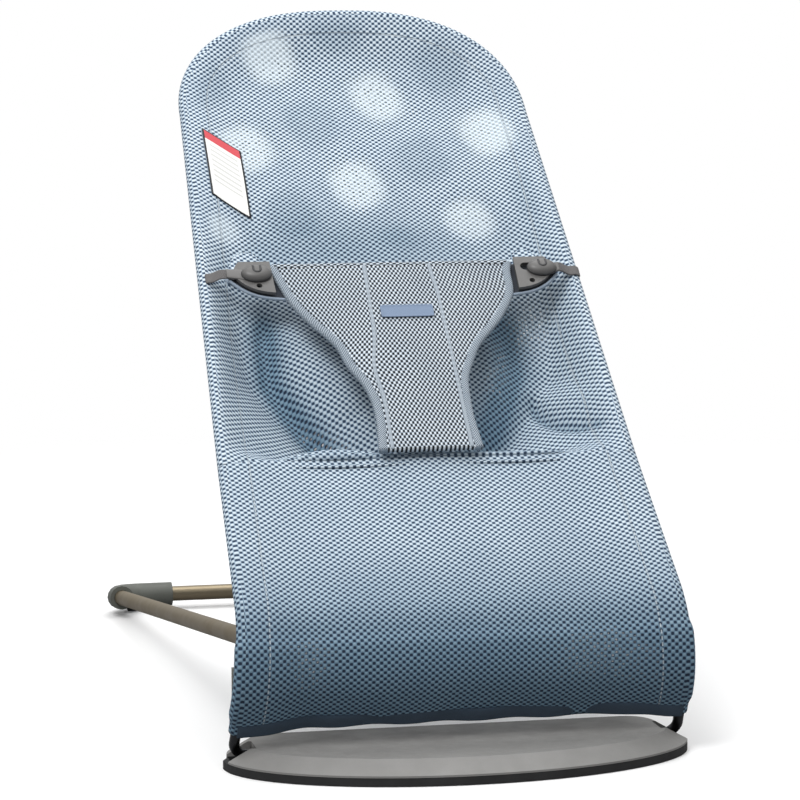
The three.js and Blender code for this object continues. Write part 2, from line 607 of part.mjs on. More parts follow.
function clips() {
  const off = harnessOff(KNOB.s) + 2.4;
  for (const [name, side] of Object.entries(SIDES)) {
    const eye = eyePlate();
    if (side < 0) eye.rotateY(Math.PI);
    add(`eye_plate_${name}`, toSeat(eye.translate(0, 0, off + EYE.thick / 2)), 'clip');

    const capFrom = off + EYE.thick + GAP;
    const rim = [[0, 0], [1, 0], [1, 0.45], [0.82, 0.8], [0.45, 0.97], [0, 1]];
    const cap = new THREE.LatheGeometry(rim.map(([r, h]) => new THREE.Vector2(r, h)), 28).rotateX(Math.PI / 2);
    cap.scale(KNOB.capA, KNOB.capB, KNOB.capH).translate(side * KNOB.x, KNOB.s, capFrom);
    const stem = new THREE.CylinderGeometry(KNOB.stemR, KNOB.stemR, EYE.thick + 3, 16).rotateX(Math.PI / 2);
    stem.translate(side * KNOB.x, KNOB.s, off + EYE.thick / 2);
    const footTop = off - GAP;
    const [t0, t1] = across(side, KNOB.x - 8, 135.4);
    const foot = block(t0, KNOB.s - 5, footTop - STRAP.thick, t1, KNOB.s + 5, footTop);
    const knob = solid(cap).add(solid(stem)).add(solid(foot));
    add(`toggle_${name}`, toSeat(geometryOf(knob)), 'clip');

    const wireAt = frameEdge(CREASE_AT + KNOB.s, 0).point;
    const reach = Math.abs(wireAt.x) - WIRE_R - 1.2;
    const [w0, w1] = across(side, 135.8, reach + 0.6);
    const band = block(w0, KNOB.s - STRAP.width / 2, footTop - STRAP.thick, w1, KNOB.s + STRAP.width / 2, footTop);
    const loop = new THREE.Shape().absarc(0, 0, WIRE_R + 3, 0, 2 * Math.PI);
    loop.holes.push(new THREE.Path().absarc(0, 0, WIRE_R + 0.9, 0, 2 * Math.PI, true));
    const ring = new THREE.ExtrudeGeometry(loop, { depth: STRAP.width, bevelEnabled: false, curveSegments: 12 });
    ring.rotateX(Math.PI / 2).translate(side * Math.abs(wireAt.x), KNOB.s + STRAP.width / 2, 0);
    const [k0, k1] = across(side, reach - 0.6, reach + 0.6);
    const drop = block(k0, KNOB.s - STRAP.width / 2, 0, k1, KNOB.s + STRAP.width / 2, footTop);
    add(`strap_${name}`, toSeat(geometryOf(solid(band).add(solid(ring)).add(solid(drop)))), 'strap');
  }
}

/** Care label on the left of the backrest: a slanted patch that follows the cover. */
function careLabel() {
  const label = sheet(4, 8, (u, v, face) => {
    const x = THREE.MathUtils.lerp(LABEL.x0, LABEL.x1, (u + 1) / 2);
    const s = THREE.MathUtils.lerp(LABEL.s0, LABEL.s1, v) - LABEL.rise * (u + 1) / 2;
    const { point } = frameEdge(CREASE_AT + s, COVER_INSET);
    const across01 = x / point.x;
    const level = s / (BACK_END - CREASE_AT);
    const off = COVER_T / 2 + 0.6 + LABEL.thick * (1 + face) / 2 - pouchSag(level) * (1 - across01 * across01);
    return new THREE.Vector3(x, point.y, point.z).addScaledVector(FRONT, off);
  });
  add('care_label', label, 'label');
}

wireFrame();
basePlate();
baseSole();
rodSaddles();
hingeBrackets();
legHubs();
rearLeg();
cover();
harnessPanel();
clips();
careLabel();

const rearmost = LEG_REAR.y + SLEEVE_R;
bouncer.position.y = (PLATE.front - rearmost) / 2;

export default bouncer;
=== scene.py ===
import math
import bmesh
import bpy
import numpy as np
from mathutils import Matrix, Vector


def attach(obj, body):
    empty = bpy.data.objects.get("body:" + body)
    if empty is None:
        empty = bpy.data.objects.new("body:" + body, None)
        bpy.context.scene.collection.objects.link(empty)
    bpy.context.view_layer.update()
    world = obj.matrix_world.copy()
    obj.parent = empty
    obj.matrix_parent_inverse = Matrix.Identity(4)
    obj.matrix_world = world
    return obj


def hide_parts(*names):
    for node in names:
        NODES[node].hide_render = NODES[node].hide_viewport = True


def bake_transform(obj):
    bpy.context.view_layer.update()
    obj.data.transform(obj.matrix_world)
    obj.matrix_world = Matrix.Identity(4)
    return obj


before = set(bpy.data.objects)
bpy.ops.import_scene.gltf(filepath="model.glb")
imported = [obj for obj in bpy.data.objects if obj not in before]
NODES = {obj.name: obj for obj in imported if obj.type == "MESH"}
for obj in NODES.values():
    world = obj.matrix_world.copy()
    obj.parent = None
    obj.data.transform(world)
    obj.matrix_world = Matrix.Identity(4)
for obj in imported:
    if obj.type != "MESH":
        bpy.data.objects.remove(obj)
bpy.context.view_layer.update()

# ---- measures of the frame, in millimetres, as the CAD part has them ------------------------------
ORIGIN_Y = -291.0            # the part's own Y 0 in the row frame
SIDE_CORNERS = [(156.3, 0, 9.6), (170, 0, 9.6), (165, -52, 94.4), (159, 95, 209), (145, 395, 470)]
SIDE_BENDS = [12, 55, 200]
HEAD_TOP = (463.0, 554.0)    # y, z of the middle of the head arch
HEAD_HALF = 145.0
HEAD_ACROSS, HEAD_ALONG = 2.5, 2.4
HEM_FROM = 33.0              # hem of the cover, as length along the wire
KNOB_X, KNOB_S = 117.0, 194.0
HARNESS_OFF, HARNESS_THICK, HARNESS_FROM, HARNESS_TOP = 5.0, 5.0, 7.0, 201.0
HARNESS_TILT = math.tan(math.radians(2.2))
HARNESS_SHIFT = 1.5          # the harness hangs a little to the right

# ---- measures of the soft goods ------------------------------------------------------------------
CLOTH = 1.8                  # thickness of the mesh cloth
HUG = 5.0                    # middle of the cloth to the wire centre
SLEEVE = 18.0                # seam of the wire sleeve, measured in from the wire
HOOD_FROM = 214.0            # lower hem of the rear pocket, up from the crease


# ---- helpers -------------------------------------------------------------------------------------
def to_row(points):
    """Millimetres in the part's own frame to metres in the row frame."""
    return (np.asarray(points, float) + [0, ORIGIN_Y, 0]) / 1000


def unit(v):
    v = np.asarray(v, float)
    return v / np.maximum(np.linalg.norm(v, axis=-1, keepdims=True), 1e-12)


def ease(t):
    """Smooth step from 0 to 1."""
    t = np.clip(t, 0, 1)
    return t * t * (3 - 2 * t)


def grid(at, uv=None, caps=False, **facts):
    """A grid of points (rows, columns, 3) in mm, with its own UV in metres and facts for each point."""
    rows, columns = at.shape[:2]
    if uv is None:
        along = np.zeros((rows, columns))
        along[1:] = np.cumsum(np.linalg.norm(np.diff(at, axis=0), axis=-1), axis=0)
        across = np.zeros((rows, columns))
        across[:, 1:] = np.cumsum(np.linalg.norm(np.diff(at, axis=1), axis=-1), axis=1)
        uv = np.stack([across, along], axis=-1) / 1000
    return {"at": at, "uv": uv, "caps": caps, "facts": facts}


def piece(name, grids, material, smooth=True, weld=True):
    """One mesh from several grids: quads between neighbouring points, ends closed where a grid has caps."""
    points, uvs, faces, first = [], [], [], 0
    facts = {key: [] for g in grids for key in g["facts"]}
    for g in grids:
        rows, columns = g["at"].shape[:2]
        i = first + np.arange(rows - 1)[:, None] * columns + np.arange(columns - 1)[None, :]
        faces += np.stack([i, i + 1, i + columns + 1, i + columns], -1).reshape(-1, 4).tolist()
        if g["caps"]:
            ring = np.arange(columns - 1)
            faces += [(first + ring).tolist(), (first + (rows - 1) * columns + ring[::-1]).tolist()]
        points.append(g["at"].reshape(-1, 3))
        uvs.append(np.asarray(g["uv"]).reshape(-1, 2))
        for key, values in facts.items():
            values.append(np.broadcast_to(g["facts"].get(key, 0.0), (rows, columns)).ravel())
        first += rows * columns
    mesh = bpy.data.meshes.new(name)
    mesh.from_pydata(to_row(np.concatenate(points)).tolist(), [], faces)
    corner = np.zeros(len(mesh.loops), np.int32)
    mesh.loops.foreach_get("vertex_index", corner)
    weave = np.concatenate(uvs)[corner].astype(np.float32)
    mesh.uv_layers.new(name="weave").data.foreach_set("uv", weave.ravel())
    for key, values in facts.items():
        attribute = mesh.attributes.new(key, "FLOAT", "POINT")
        attribute.data.foreach_set("value", np.concatenate(values).astype(np.float32))
    if weld:
        shape = bmesh.new()
        shape.from_mesh(mesh)
        bmesh.ops.remove_doubles(shape, verts=shape.verts, dist=8e-6)
        bmesh.ops.recalc_face_normals(shape, faces=shape.faces)
        shape.to_mesh(mesh)
        shape.free()
    mesh.polygons.foreach_set("use_smooth", [smooth] * len(mesh.polygons))
    mesh.materials.append(material)
    made = bpy.data.objects.new(name, mesh)
    bpy.context.scene.collection.objects.link(made)
    return made


def thicken(cloth, thickness):
    """Gives a cloth its thickness, the same on both sides."""
    wall = cloth.modifiers.new("thickness", "SOLIDIFY")
    wall.thickness = thickness / 1000
    wall.offset = 0
    return cloth


def carried(profile, path, side, out):
    """A closed profile (m, 2) carried along a path: point + side * profile x + out * profile y."""
    profile = np.concatenate([profile, profile[:1]])
    return (path[:, None] + side[:, None] * profile[None, :, :1] + out[:, None] * profile[None, :, 1:2])


def spread(direction, path):
    """The same direction for every point of a path."""
    return np.broadcast_to(direction, path.shape)


def tapered(section, half, path, side, out):
    """A closed unit section carried along a path, scaled at each point by half (n, 2)."""
    ring = (path[:, None] + section[None, :, :1] * half[:, None, :1] * side
            + section[None, :, 1:] * half[:, None, 1:] * out)
    return np.concatenate([ring, ring[:, :1]], axis=1)


def oval(half_wide, half_thick, power=2.0, count=16):
    """Points of a superellipse |x/a|^p + |y/b|^p = 1."""
    a = np.linspace(0, 2 * np.pi, count, endpoint=False)
    c, s = np.cos(a), np.sin(a)
    return np.stack([half_wide * np.sign(c) * np.abs(c) ** (2 / power),
                     half_thick * np.sign(s) * np.abs(s) ** (2 / power)], -1)


def resample(line, count):
    """The same line with evenly spaced points."""
    along = np.concatenate([[0], np.cumsum(np.linalg.norm(np.diff(line, axis=0), axis=1))])
    at = np.linspace(0, along[-1], count)
    return np.stack([np.interp(at, along, line[:, k]) for k in range(line.shape[1])], -1)


# ---- the line of the wire frame ------------------------------------------------------------------
def bent_line(corners, radii, step=1.0):
    """Centre line of a bent wire: straight stretches joined by circular arcs, points about 1 mm apart."""
    corners = [np.array(c, float) for c in corners]
    parts, start = [], corners[0]
    for before, corner, after, radius in zip(corners, corners[1:], corners[2:], radii):
        into, out = unit(corner - before), unit(after - corner)
        turn = math.acos(float(np.clip(into @ out, -1, 1)))
        reach = radius * math.tan(turn / 2)
        inward = unit(out - into * math.cos(turn))
        arc_start = corner - into * reach
        count = max(2, math.ceil(np.linalg.norm(arc_start - start) / step))
        parts.append(start + np.linspace(0, 1, count, endpoint=False)[:, None] * (arc_start - start))
        a = np.linspace(0, turn, max(3, math.ceil(radius * turn / step)), endpoint=False)[:, None]
        parts.append(arc_start + inward * radius * (1 - np.cos(a)) + into * radius * np.sin(a))
        start = corner + out * reach
    count = max(2, math.ceil(np.linalg.norm(corners[-1] - start) / step))
    parts.append(start + np.linspace(0, 1, count)[:, None] * (corners[-1] - start))
    return np.concatenate(parts)


SIDE = bent_line(SIDE_CORNERS, SIDE_BENDS)
SIDE_D = np.concatenate([[0], np.cumsum(np.linalg.norm(np.diff(SIDE, axis=0), axis=1))])
SIDE_LENGTH = SIDE_D[-1]
CREASE = np.array(SIDE_CORNERS[3], float)
CREASE_AT = SIDE_D[np.argmin(np.linalg.norm(SIDE - CREASE, axis=1))]
SHOULDER = np.array(SIDE_CORNERS[4], float)
BACK = unit([0, SHOULDER[1] - CREASE[1], SHOULDER[2] - CREASE[2]])
FRONT = np.array([0, -BACK[2], BACK[1]])
ACROSS = np.array([1.0, 0, 0])
HEAD_RISE = math.hypot(HEAD_TOP[0] - SHOULDER[1], HEAD_TOP[1] - SHOULDER[2])
BACK_RISE = SIDE_LENGTH - CREASE_AT     # from the crease to the shoulder, along the wire


def on_side(d):
    """Right-hand wire at lengths d: its centre, and the directions up the seat and to the front."""
    d = np.asarray(d, float)
    at = np.stack([np.interp(d, SIDE_D, SIDE[:, k]) for k in range(3)], -1)
    ahead = np.stack([np.interp(d + 2, SIDE_D, SIDE[:, k]) - np.interp(d - 2, SIDE_D, SIDE[:, k])
                      for k in range(3)], -1)
    ahead[..., 0] = 0
    up = unit(ahead)
    front = np.stack([np.zeros_like(d), -up[..., 2], up[..., 1]], -1)
    return at, up, front


def on_head(level):
    """The head arch at level 0 (shoulder) to 1 (top): a quadratic curve in Y and Z, and its front."""
    level = np.asarray(level, float)
    ends = np.array([SHOULDER[1:], SHOULDER[1:] + HEAD_RISE / 2 * BACK[1:], HEAD_TOP])
    weights = np.stack([(1 - level) ** 2, 2 * level * (1 - level), level ** 2], -1)
    slopes = np.stack([-2 * (1 - level), 2 - 4 * level, 2 * level], -1)
    yz, up = weights @ ends, unit(slopes @ ends)
    front = np.stack([np.zeros_like(level), -up[..., 1], up[..., 0]], -1)
    return yz, front


def on_seat(x, s, off):
    """A point s up the backrest from the crease and off in front of the plane of the side wires."""
    x, s, off = np.broadcast_arrays(np.asarray(x, float), s, off)
    return CREASE * [0, 1, 1] + x[..., None] * ACROSS + s[..., None] * BACK + off[..., None] * FRONT


# ---- materials -----------------------------------------------------------------------------------
def srgb(r, g, b):
    """A colour given from 0 to 255, as linear light."""
    c = np.array([r, g, b]) / 255
    return (*np.where(c <= 0.04045, c / 12.92, ((c + 0.055) / 1.055) ** 2.4).tolist(), 1.0)


class Finish:
    """A material under construction, with short ways to add its nodes."""

    def __init__(self, name, **sockets):
        self.material = bpy.data.materials.new(name)
        self.material.use_nodes = True
        self.tree = self.material.node_tree
        self.shader = self.tree.nodes["Principled BSDF"]
        for key, value in sockets.items():
            self.shader.inputs[key.replace("_", " ")].default_value = value

    def node(self, kind, *links, **settings):
        made = self.tree.nodes.new("ShaderNode" + kind)
        for key, value in settings.items():
            setattr(made, key, value)
        for socket, value in enumerate(links):
            self.set(made, socket, value)
        return made

    def set(self, made, socket, value):
        if value is None:
            return
        if isinstance(value, bpy.types.Node):
            value = value.outputs[0]
        if isinstance(value, bpy.types.NodeSocket):
            self.tree.links.new(value, made.inputs[socket])
        else:
            made.inputs[socket].default_value = value

    def math(self, operation, *values, clamp=False):
        return self.node("Math", *values, operation=operation, use_clamp=clamp)

    def steps(self, value, low, high, out_low=0.0, out_high=1.0):
        """value from low..high to out_low..out_high, smoothly."""
        return self.node("MapRange", value, low, high, out_low, out_high, interpolation_type="SMOOTHSTEP")

    def mix(self, share, a, b, blend="MIX"):
        made = self.tree.nodes.new("ShaderNodeMix")
        made.data_type, made.blend_type = "RGBA", blend
        self.set(made, 0, share)
        self.set(made, 6, a)
        self.set(made, 7, b)
        return made.outputs[2]

    def place(self, kind="Object"):
        return self.node("TexCoord").outputs[kind]

    def noise(self, scale, detail=3.0, where=None, rough=0.5):
        made = self.node("TexNoise")
        self.set(made, "Vector", self.place() if where is None else where)
        made.inputs["Scale"].default_value = scale
        made.inputs["Detail"].default_value = detail
        made.inputs["Roughness"].default_value = rough
        return made.outputs["Fac"]

    def attribute(self, name):
        return self.node("Attribute", attribute_name=name).outputs["Fac"]

    def bump(self, height, distance, strength=1.0):
        made = self.node("Bump")
        made.inputs["Strength"].default_value = strength
        made.inputs["Distance"].default_value = distance / 1000
        self.set(made, "Height", height)
        self.set(self.shader, "Normal", made.outputs["Normal"])

    def use(self, **sockets):
        for key, value in sockets.items():
            self.set(self.shader, key.replace("_", " "), value)
        return self.material


def moulded(name, colour, rough, mottle=0.12, grain=1600, depth=0.08, worn=None):
    """Moulded plastic: fine spark-eroded grain, faint mottling and slightly polished patches."""
    f = Finish(name)
    cloud, fine = f.noise(38, 4), f.noise(grain, 2)
    dark = tuple(c * (1 - mottle) for c in colour[:3]) + (1,)
    light = tuple(min(1, c * (1 + mottle)) for c in colour[:3]) + (1,)
    tone = f.mix(f.steps(cloud, 0.3, 0.7), dark, light)
    tone = f.mix(f.steps(fine, 0.35, 0.65, 0.0, 0.25), tone, tuple(c * 0.8 for c in colour[:3]) + (1,))
    f.bump(fine, depth)
    return f.use(Base_Color=tone, Roughness=f.steps(f.noise(90, 3), 0.3, 0.7, rough - 0.06, rough + 0.08))


def metal(name, colour, rough, brush=0.0, **sockets):
    """Metal with drawing marks along X or Y, faint smudges and a little unevenness in its gloss."""
    f = Finish(name, Metallic=1.0, **sockets)
    stretch = f.node("Mapping", f.place())
    stretch.inputs["Scale"].default_value = (900, 60, 900)
    marks = f.noise(1.0, 2, where=stretch.outputs[0])
    smudge = f.noise(24, 4)
    dark = tuple(c * 0.78 for c in colour[:3]) + (1,)
    tone = f.mix(f.steps(smudge, 0.35, 0.75, 0.0, 0.6), colour, dark)
    f.bump(marks, 0.02 + brush)
    return f.use(Base_Color=tone, Roughness=f.steps(smudge, 0.25, 0.75, rough - 0.05, rough + 0.1))


def mesh_cloth(name, yarn, crease, hollow_shade, pitch, hole, soft, relief, clear=0.0, cover=False):
    """Knitted mesh: staggered holes where f = cos(pi u / p) cos(2 pi v / q), with p, q the pitch, is above
    a threshold, painted dark for the shade seen through them, the yarn painted darker towards them as shade
    so that the crest between them stands pale as a painted highlight, and fine yarn lines. On the cover,
    `shade` adds painted shade or, below 0, painted light, `open` lets the holes show what is behind, and
    `inboard` places the stitched line of the wire sleeve and its painted shaded groove."""
    f = Finish(name)
    uv = f.place("UV")
    split = f.node("SeparateXYZ", uv)
    u = f.math("ADD", split.outputs[0], f.math("MULTIPLY", f.noise(55, 2, where=uv), 0.0009))
    v = f.math("ADD", split.outputs[1], f.math("MULTIPLY", f.noise(48, 2, where=uv), 0.0012))
    columns = f.math("COSINE", f.math("MULTIPLY", u, math.pi / (pitch[0] / 1000)))
    rows = f.math("COSINE", f.math("MULTIPLY", v, 2 * math.pi / (pitch[1] / 1000)))
    lattice = f.math("MULTIPLY", columns, rows)
    opening = f.steps(lattice, hole - soft, hole + soft)
    strand = f.math("SINE", f.math("MULTIPLY", u, 2 * math.pi / 0.00062))
    # painted shade: the yarn darkens towards each hole, so the crest between them stands as a painted highlight
    tone = f.mix(f.steps(lattice, hole, -0.6), crease, yarn)
    tone = f.mix(f.steps(strand, -1.0, 1.0, 0.0, 0.14), tone, crease)
    tone = f.mix(f.steps(f.noise(16, 3, where=uv), 0.3, 0.7, 0.0, 0.2), tone, crease)
    # painted shade: the holes take a dark colour for the shade seen through them
    tone = f.mix(opening, tone, hollow_shade)
    height = f.math("SUBTRACT", f.math("MULTIPLY", strand, 0.05), f.math("MULTIPLY", lattice, 0.8))
    alpha = f.math("SUBTRACT", 1.0, f.math("MULTIPLY", opening, clear)) if clear else 1.0
    if cover:
        # painted shade from the shade attribute, deepened with a blue tint; below 0 the attribute is painted light
        # that pales the cloth towards the plain yarn
        shade = f.attribute("shade")
        tone = f.mix(shade, tone, f.mix(1.0, tone, PAINTED_SHADE_TINT, blend="MULTIPLY"))
        tone = f.mix(f.math("MULTIPLY", shade, -1.0), tone, YARN)
        line = f.math("ABSOLUTE", f.math("SUBTRACT", f.attribute("inboard"), SLEEVE))
        groove = f.steps(line, 0.2, 1.3, 1.0, 0.0)
        beat = f.math("SINE", f.math("MULTIPLY", split.outputs[1], 2 * math.pi / 0.0042))
        thread = f.math("MULTIPLY", f.steps(line, 0.35, 0.7, 1.0, 0.0), f.math("GREATER_THAN", beat, -0.35))
        # painted shade in the groove of the sleeve seam
        tone = f.mix(f.math("MULTIPLY", groove, 0.45), tone, hollow_shade)
        tone = f.mix(f.math("MULTIPLY", thread, 0.5), tone, yarn)
        height = f.math("SUBTRACT", height, f.math("MULTIPLY", groove, 1.2))
        tight = f.math("GREATER_THAN", lattice, hole + soft * 0.4)
        chance = f.steps(f.noise(330, 1, where=uv), 0.36, 0.62)
        gap = f.math("MULTIPLY", f.math("MULTIPLY", tight, f.attribute("open")), f.steps(line, 1.2, 1.8))
        gap = f.math("MULTIPLY", gap, chance)
        alpha = f.math("SUBTRACT", 1.0, gap)
    f.bump(height, relief)
    return f.use(Base_Color=tone, Alpha=alpha, Roughness=f.steps(lattice, -1.0, 1.0, 0.7, 0.92))


def tape(name, colour, rib=0.9, contrast=0.35, depth=0.12, stitch_at=None):
    """Woven tape or webbing: cross ribs along its length over fine warp lines."""
    f = Finish(name)
    split = f.node("SeparateXYZ", f.place("UV"))
    ribs = f.math("SINE", f.math("MULTIPLY", split.outputs[1], 2 * math.pi / (rib / 1000)))
    warp = f.math("SINE", f.math("MULTIPLY", split.outputs[0], 2 * math.pi / 0.0007))
    weave = f.math("MULTIPLY", ribs, warp)
    dark = tuple(c * (1 - contrast) for c in colour[:3]) + (1,)
    tone = f.mix(f.steps(weave, -0.8, 0.8), dark, colour)
    tone = f.mix(f.steps(f.noise(60, 3, where=f.place("UV")), 0.3, 0.7, 0.0, 0.25), tone, dark)
    f.bump(weave, depth)
    return f.use(Base_Color=tone, Roughness=f.steps(weave, -1.0, 1.0, 0.7, 0.9))


YARN = srgb(215, 226, 232)
# blue tint of the painted shade on the cover
PAINTED_SHADE_TINT = (0.30, 0.42, 0.50, 1)
# colours: yarn, yarn darkened towards the holes as painted shade, and the dark painted shade in the holes
COVER_CLOTH = mesh_cloth("light blue mesh cloth", YARN, srgb(124, 146, 168), srgb(40, 58, 80), (2.78, 4.8),
                         0.30, 0.16, 0.3, cover=True)
# holes painted near black for the shade inside the spacer mesh
HARNESS_CLOTH = mesh_cloth("pale spacer mesh", srgb(222, 230, 236), srgb(124, 139, 154), srgb(10, 15, 24),
                           (1.74, 5.42), 0.14, 0.12, 0.55)
BINDING = tape("blue grey binding tape", srgb(158, 174, 192), rib=1.1, contrast=0.4)
HEM_TAPE = tape("dark blue ribbed hem", srgb(78, 100, 122), rib=2.8, contrast=0.55, depth=0.4)
# holes painted dark for their shade
HARNESS_TAPE = mesh_cloth("harness binding", srgb(200, 210, 218), srgb(122, 136, 150), srgb(62, 76, 92),
                          (0.9, 2.0), 0.2, 0.2, 0.3)
SEAM_TAPE = tape("pale seam tape", srgb(166, 177, 188), rib=1.0, contrast=0.3, depth=0.05)
WEBBING = tape("grey elastic webbing", srgb(112, 110, 110), rib=1.3, contrast=0.3)
PIPING = tape("dark piping", srgb(52, 58, 68), rib=1.2)
PLATE = moulded("warm grey moulded plate", srgb(130, 129, 127), 0.55, mottle=0.04)
LABEL_RED, LABEL_BLACK = srgb(196, 60, 70), srgb(24, 24, 28)
TAG = tape("pale blue woven tag", srgb(124, 142, 168), rib=0.8, contrast=0.15, depth=0.05)
RUBBER = moulded("black sole rubber", srgb(34, 34, 35), 0.72, mottle=0.2, depth=0.15)
ELBOW = moulded("green grey elbow plastic", srgb(92, 94, 88), 0.5, mottle=0.1)
CLIP = moulded("warm grey clip plastic", srgb(92, 91, 90), 0.42, mottle=0.06, depth=0.04)
CLIP_DARK = moulded("dark grey clip plastic", srgb(40, 40, 42), 0.45, mottle=0.08, depth=0.04)
WIRE = metal("dark spring wire", srgb(70, 71, 74), 0.28)
TUBE = metal("champagne anodised tube", srgb(150, 138, 116), 0.42, brush=0.02)
STEEL = metal("bright steel", srgb(178, 180, 184), 0.25)


# ---- CAD nodes that stay in view -----------------------------------------------------------------
FINISHES = {
    "base_plate": PLATE, "base_sole": RUBBER, "floor_pad": RUBBER, "elbow_sleeve": ELBOW, "leg_hub": ELBOW,
    "wire_clamp": ELBOW, "rod_saddle": ELBOW, "cross_rod": WIRE, "riser_wire": WIRE, "side_wire": WIRE,
    "headrest_wire": WIRE, "leg_tube": TUBE, "rear_crossbar": TUBE, "saddle_screw": STEEL,
    "bracket_screw": STEEL, "pivot_rivet": STEEL, "hinge_bracket": STEEL, "detent_spring": STEEL,
    "eye_plate": CLIP, "toggle": CLIP, "strap": WEBBING,
}
ROUND_NODES = ("riser_wire", "side_wire", "headrest_wire", "cross_rod", "leg_tube", "rear_crossbar",
               "elbow_sleeve", "leg_hub", "pivot_rivet")


def finish_nodes():
    """Gives each kept CAD node its material, and rounds the shading of bars, tubes and turned pieces."""
    for name, node in NODES.items():
        kind = next((k for k in FINISHES if name.startswith(k)), None)
        if kind:
            node.data.materials.clear()
            node.data.materials.append(FINISHES[kind])
        if name.startswith(ROUND_NODES):
            node.data.polygons.foreach_set("use_smooth", [True] * len(node.data.polygons))
            weld = node.modifiers.new("join", "WELD")
            weld.merge_threshold = 2e-5
            split = node.modifiers.new("creases", "EDGE_SPLIT")
            split.split_angle = math.radians(40)


# ---- cover ---------------------------------------------------------------------------------------
def wrap(centre, front, out, hug, power, last, back_in, back_off, count=9):
    """Cloth round a wire, from the tangent at its front: an arc of angle `last` (degrees) with radius hug,
    squared off by power, and then a flat return that runs back_in mm inwards and ends at offset back_off."""
    a = np.radians(np.asarray(last, float))[:, None] * np.linspace(0, 1, count)[None, :]
    c, s = np.cos(a), np.sin(a)
    power = np.asarray(power, float)[:, None]
    radius = np.asarray(hug, float)[:, None] / (np.abs(c) ** power + np.abs(s) ** power) ** (1 / power)
    arc = (centre[:, None] + (radius * c)[..., None] * front[:, None] + (radius * s)[..., None] * out[:, None])
    t = np.linspace(0, 1, 6)[1:]
    end = (centre - out * np.asarray(back_in, float)[:, None] + front * np.asarray(back_off, float)[:, None])
    run = arc[:, -1:] + t[None, :, None] * (end[:, None] - arc[:, -1:])
    turn = -(radius * (a[:, 1:2] - a[:, :1]))[:, :1] * np.arange(1, count)
    step = np.concatenate([np.zeros((len(a), 1)), turn], axis=1)
    back = step[:, -1:] - t[None] * np.linalg.norm(end - arc[:, -1], axis=1)[:, None]
    inboard = np.concatenate([step, back], axis=1)
    return np.concatenate([arc, run], axis=1), inboard


def wrap_grid(line, along, shade, *args):
    """The wrap as a grid whose weave runs on round the wire: u from the inboard distance."""
    at, inboard = wrap(line[0], line[1], line[2], *args)
    uv = np.stack([0.16 - inboard / 1000, np.broadcast_to(along[:, None] / 1000, inboard.shape)], -1)
    return grid(at, uv, inboard=inboard, shade=shade)


def soften(values, times):
    """Evens out a field over its grid and leaves its border as it is."""
    values = values.copy()
    for _ in range(times):
        around = values[:-2, 1:-1] + values[2:, 1:-1] + values[1:-1, :-2] + values[1:-1, 2:]
        values[1:-1, 1:-1] = 0.5 * values[1:-1, 1:-1] + 0.125 * around
    return values


def ridge(x, s, start, end, width):
    """1 on a fold line between two points and 0 further than width from it, bell shaped."""
    a, b = np.array(start, float), np.array(end, float)
    run = b - a
    t = np.clip(((x - a[0]) * run[0] + (s - a[1]) * run[1]) / (run @ run), 0, 1)
    apart = np.hypot(x - a[0] - t * run[0], s - a[1] - t * run[1])
    return np.exp(-(apart / width) ** 2) * np.sin(np.pi * np.clip(t, 0.02, 0.98)) ** 0.5


def seam_height(u):
    """How far above the crease the seam between front and pouch runs, at u -1 to 1 across."""
    return 8.5 * (1 - np.abs(u) ** 5)


def cover_lower():
    """From the hem up over the nose of the frame to the crease: taut between the wires, 7 mm of sag."""
    rows = np.linspace(HEM_FROM, CREASE_AT, 96)
    u = np.sin(np.linspace(-1, 1, 91) * np.pi / 2) * 0.35 + np.linspace(-1, 1, 91) * 0.65
    share = (rows - HEM_FROM) / (CREASE_AT - HEM_FROM)
    d = rows[:, None] + seam_height(u)[None, :] * share[:, None] ** 4
    at, up, front = on_side(d)
    rim_at, rim_up, rim_front = on_side(rows)
    z = rim_at[:, 2]
    at_clamp = ease((z - 36) / 12) * ease((104 - z) / 10)
    hug = HUG + 1.5 * at_clamp
    x = u[None, :] * at[..., 0]
    inboard = at[..., 0] - np.abs(x)
    sag = 7 * ease(inboard / 60) + 1.0 * np.sin(x / 21 + d / 60) * ease(inboard / 50)
    ripple = 1.0 * np.sin(x / 8.5) * ease((60 - d) / 40) * ease(inboard / 30)
    points = at * [0, 1, 1] + x[..., None] * ACROSS + (hug[:, None] - sag + ripple)[..., None] * front
    uv = np.stack([x, d], -1) / 1000
    # painted shade: much darker lower down, where the panel turns to face the floor, over a slight deepening of the
    # whole panel
    shade = 0.16 + 0.84 * ease((170 - points[..., 2]) / 88)
    glints = ease((at[..., 2] - 40) / 20) * ease((112 - at[..., 2]) / 20)
    glints *= np.exp(-((x - 105) / 42) ** 2) * 0.5 + np.exp(-((x + 118) / 18) ** 2) * 0.45
    grids = [grid(points, uv, inboard=inboard, shade=shade, open=glints)]
    for side in (-1, 1):
        mirror = np.array([side, 1, 1])
        out = np.broadcast_to(ACROSS * side, rim_at.shape)
        uncovered = ease((z - 38) / 12) * ease((122 - z) / 12)
        last = 180 - 85 * uncovered
        back_in = SLEEVE - (SLEEVE + 4.5) * uncovered
        back_off = (hug - 4.5) * (1 - uncovered) - 1.2 * uncovered
        grids.append(wrap_grid((rim_at * mirror, rim_front, out), rows, shade[:, -1:], hug, 2 + 2 * at_clamp,
                               last, back_in, back_off))
    made = thicken(piece("cover_lower", grids, COVER_CLOTH), CLOTH)
    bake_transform(made)
    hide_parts("cover_front_panel", "cover_leg_panel")


def pouch_bend(s):
    """Half width of the pouch's back wall at height s: the U line where back and side walls meet."""
    return 150 * np.sqrt(np.clip((s - 8) / 150, 0.0004, 0.72))


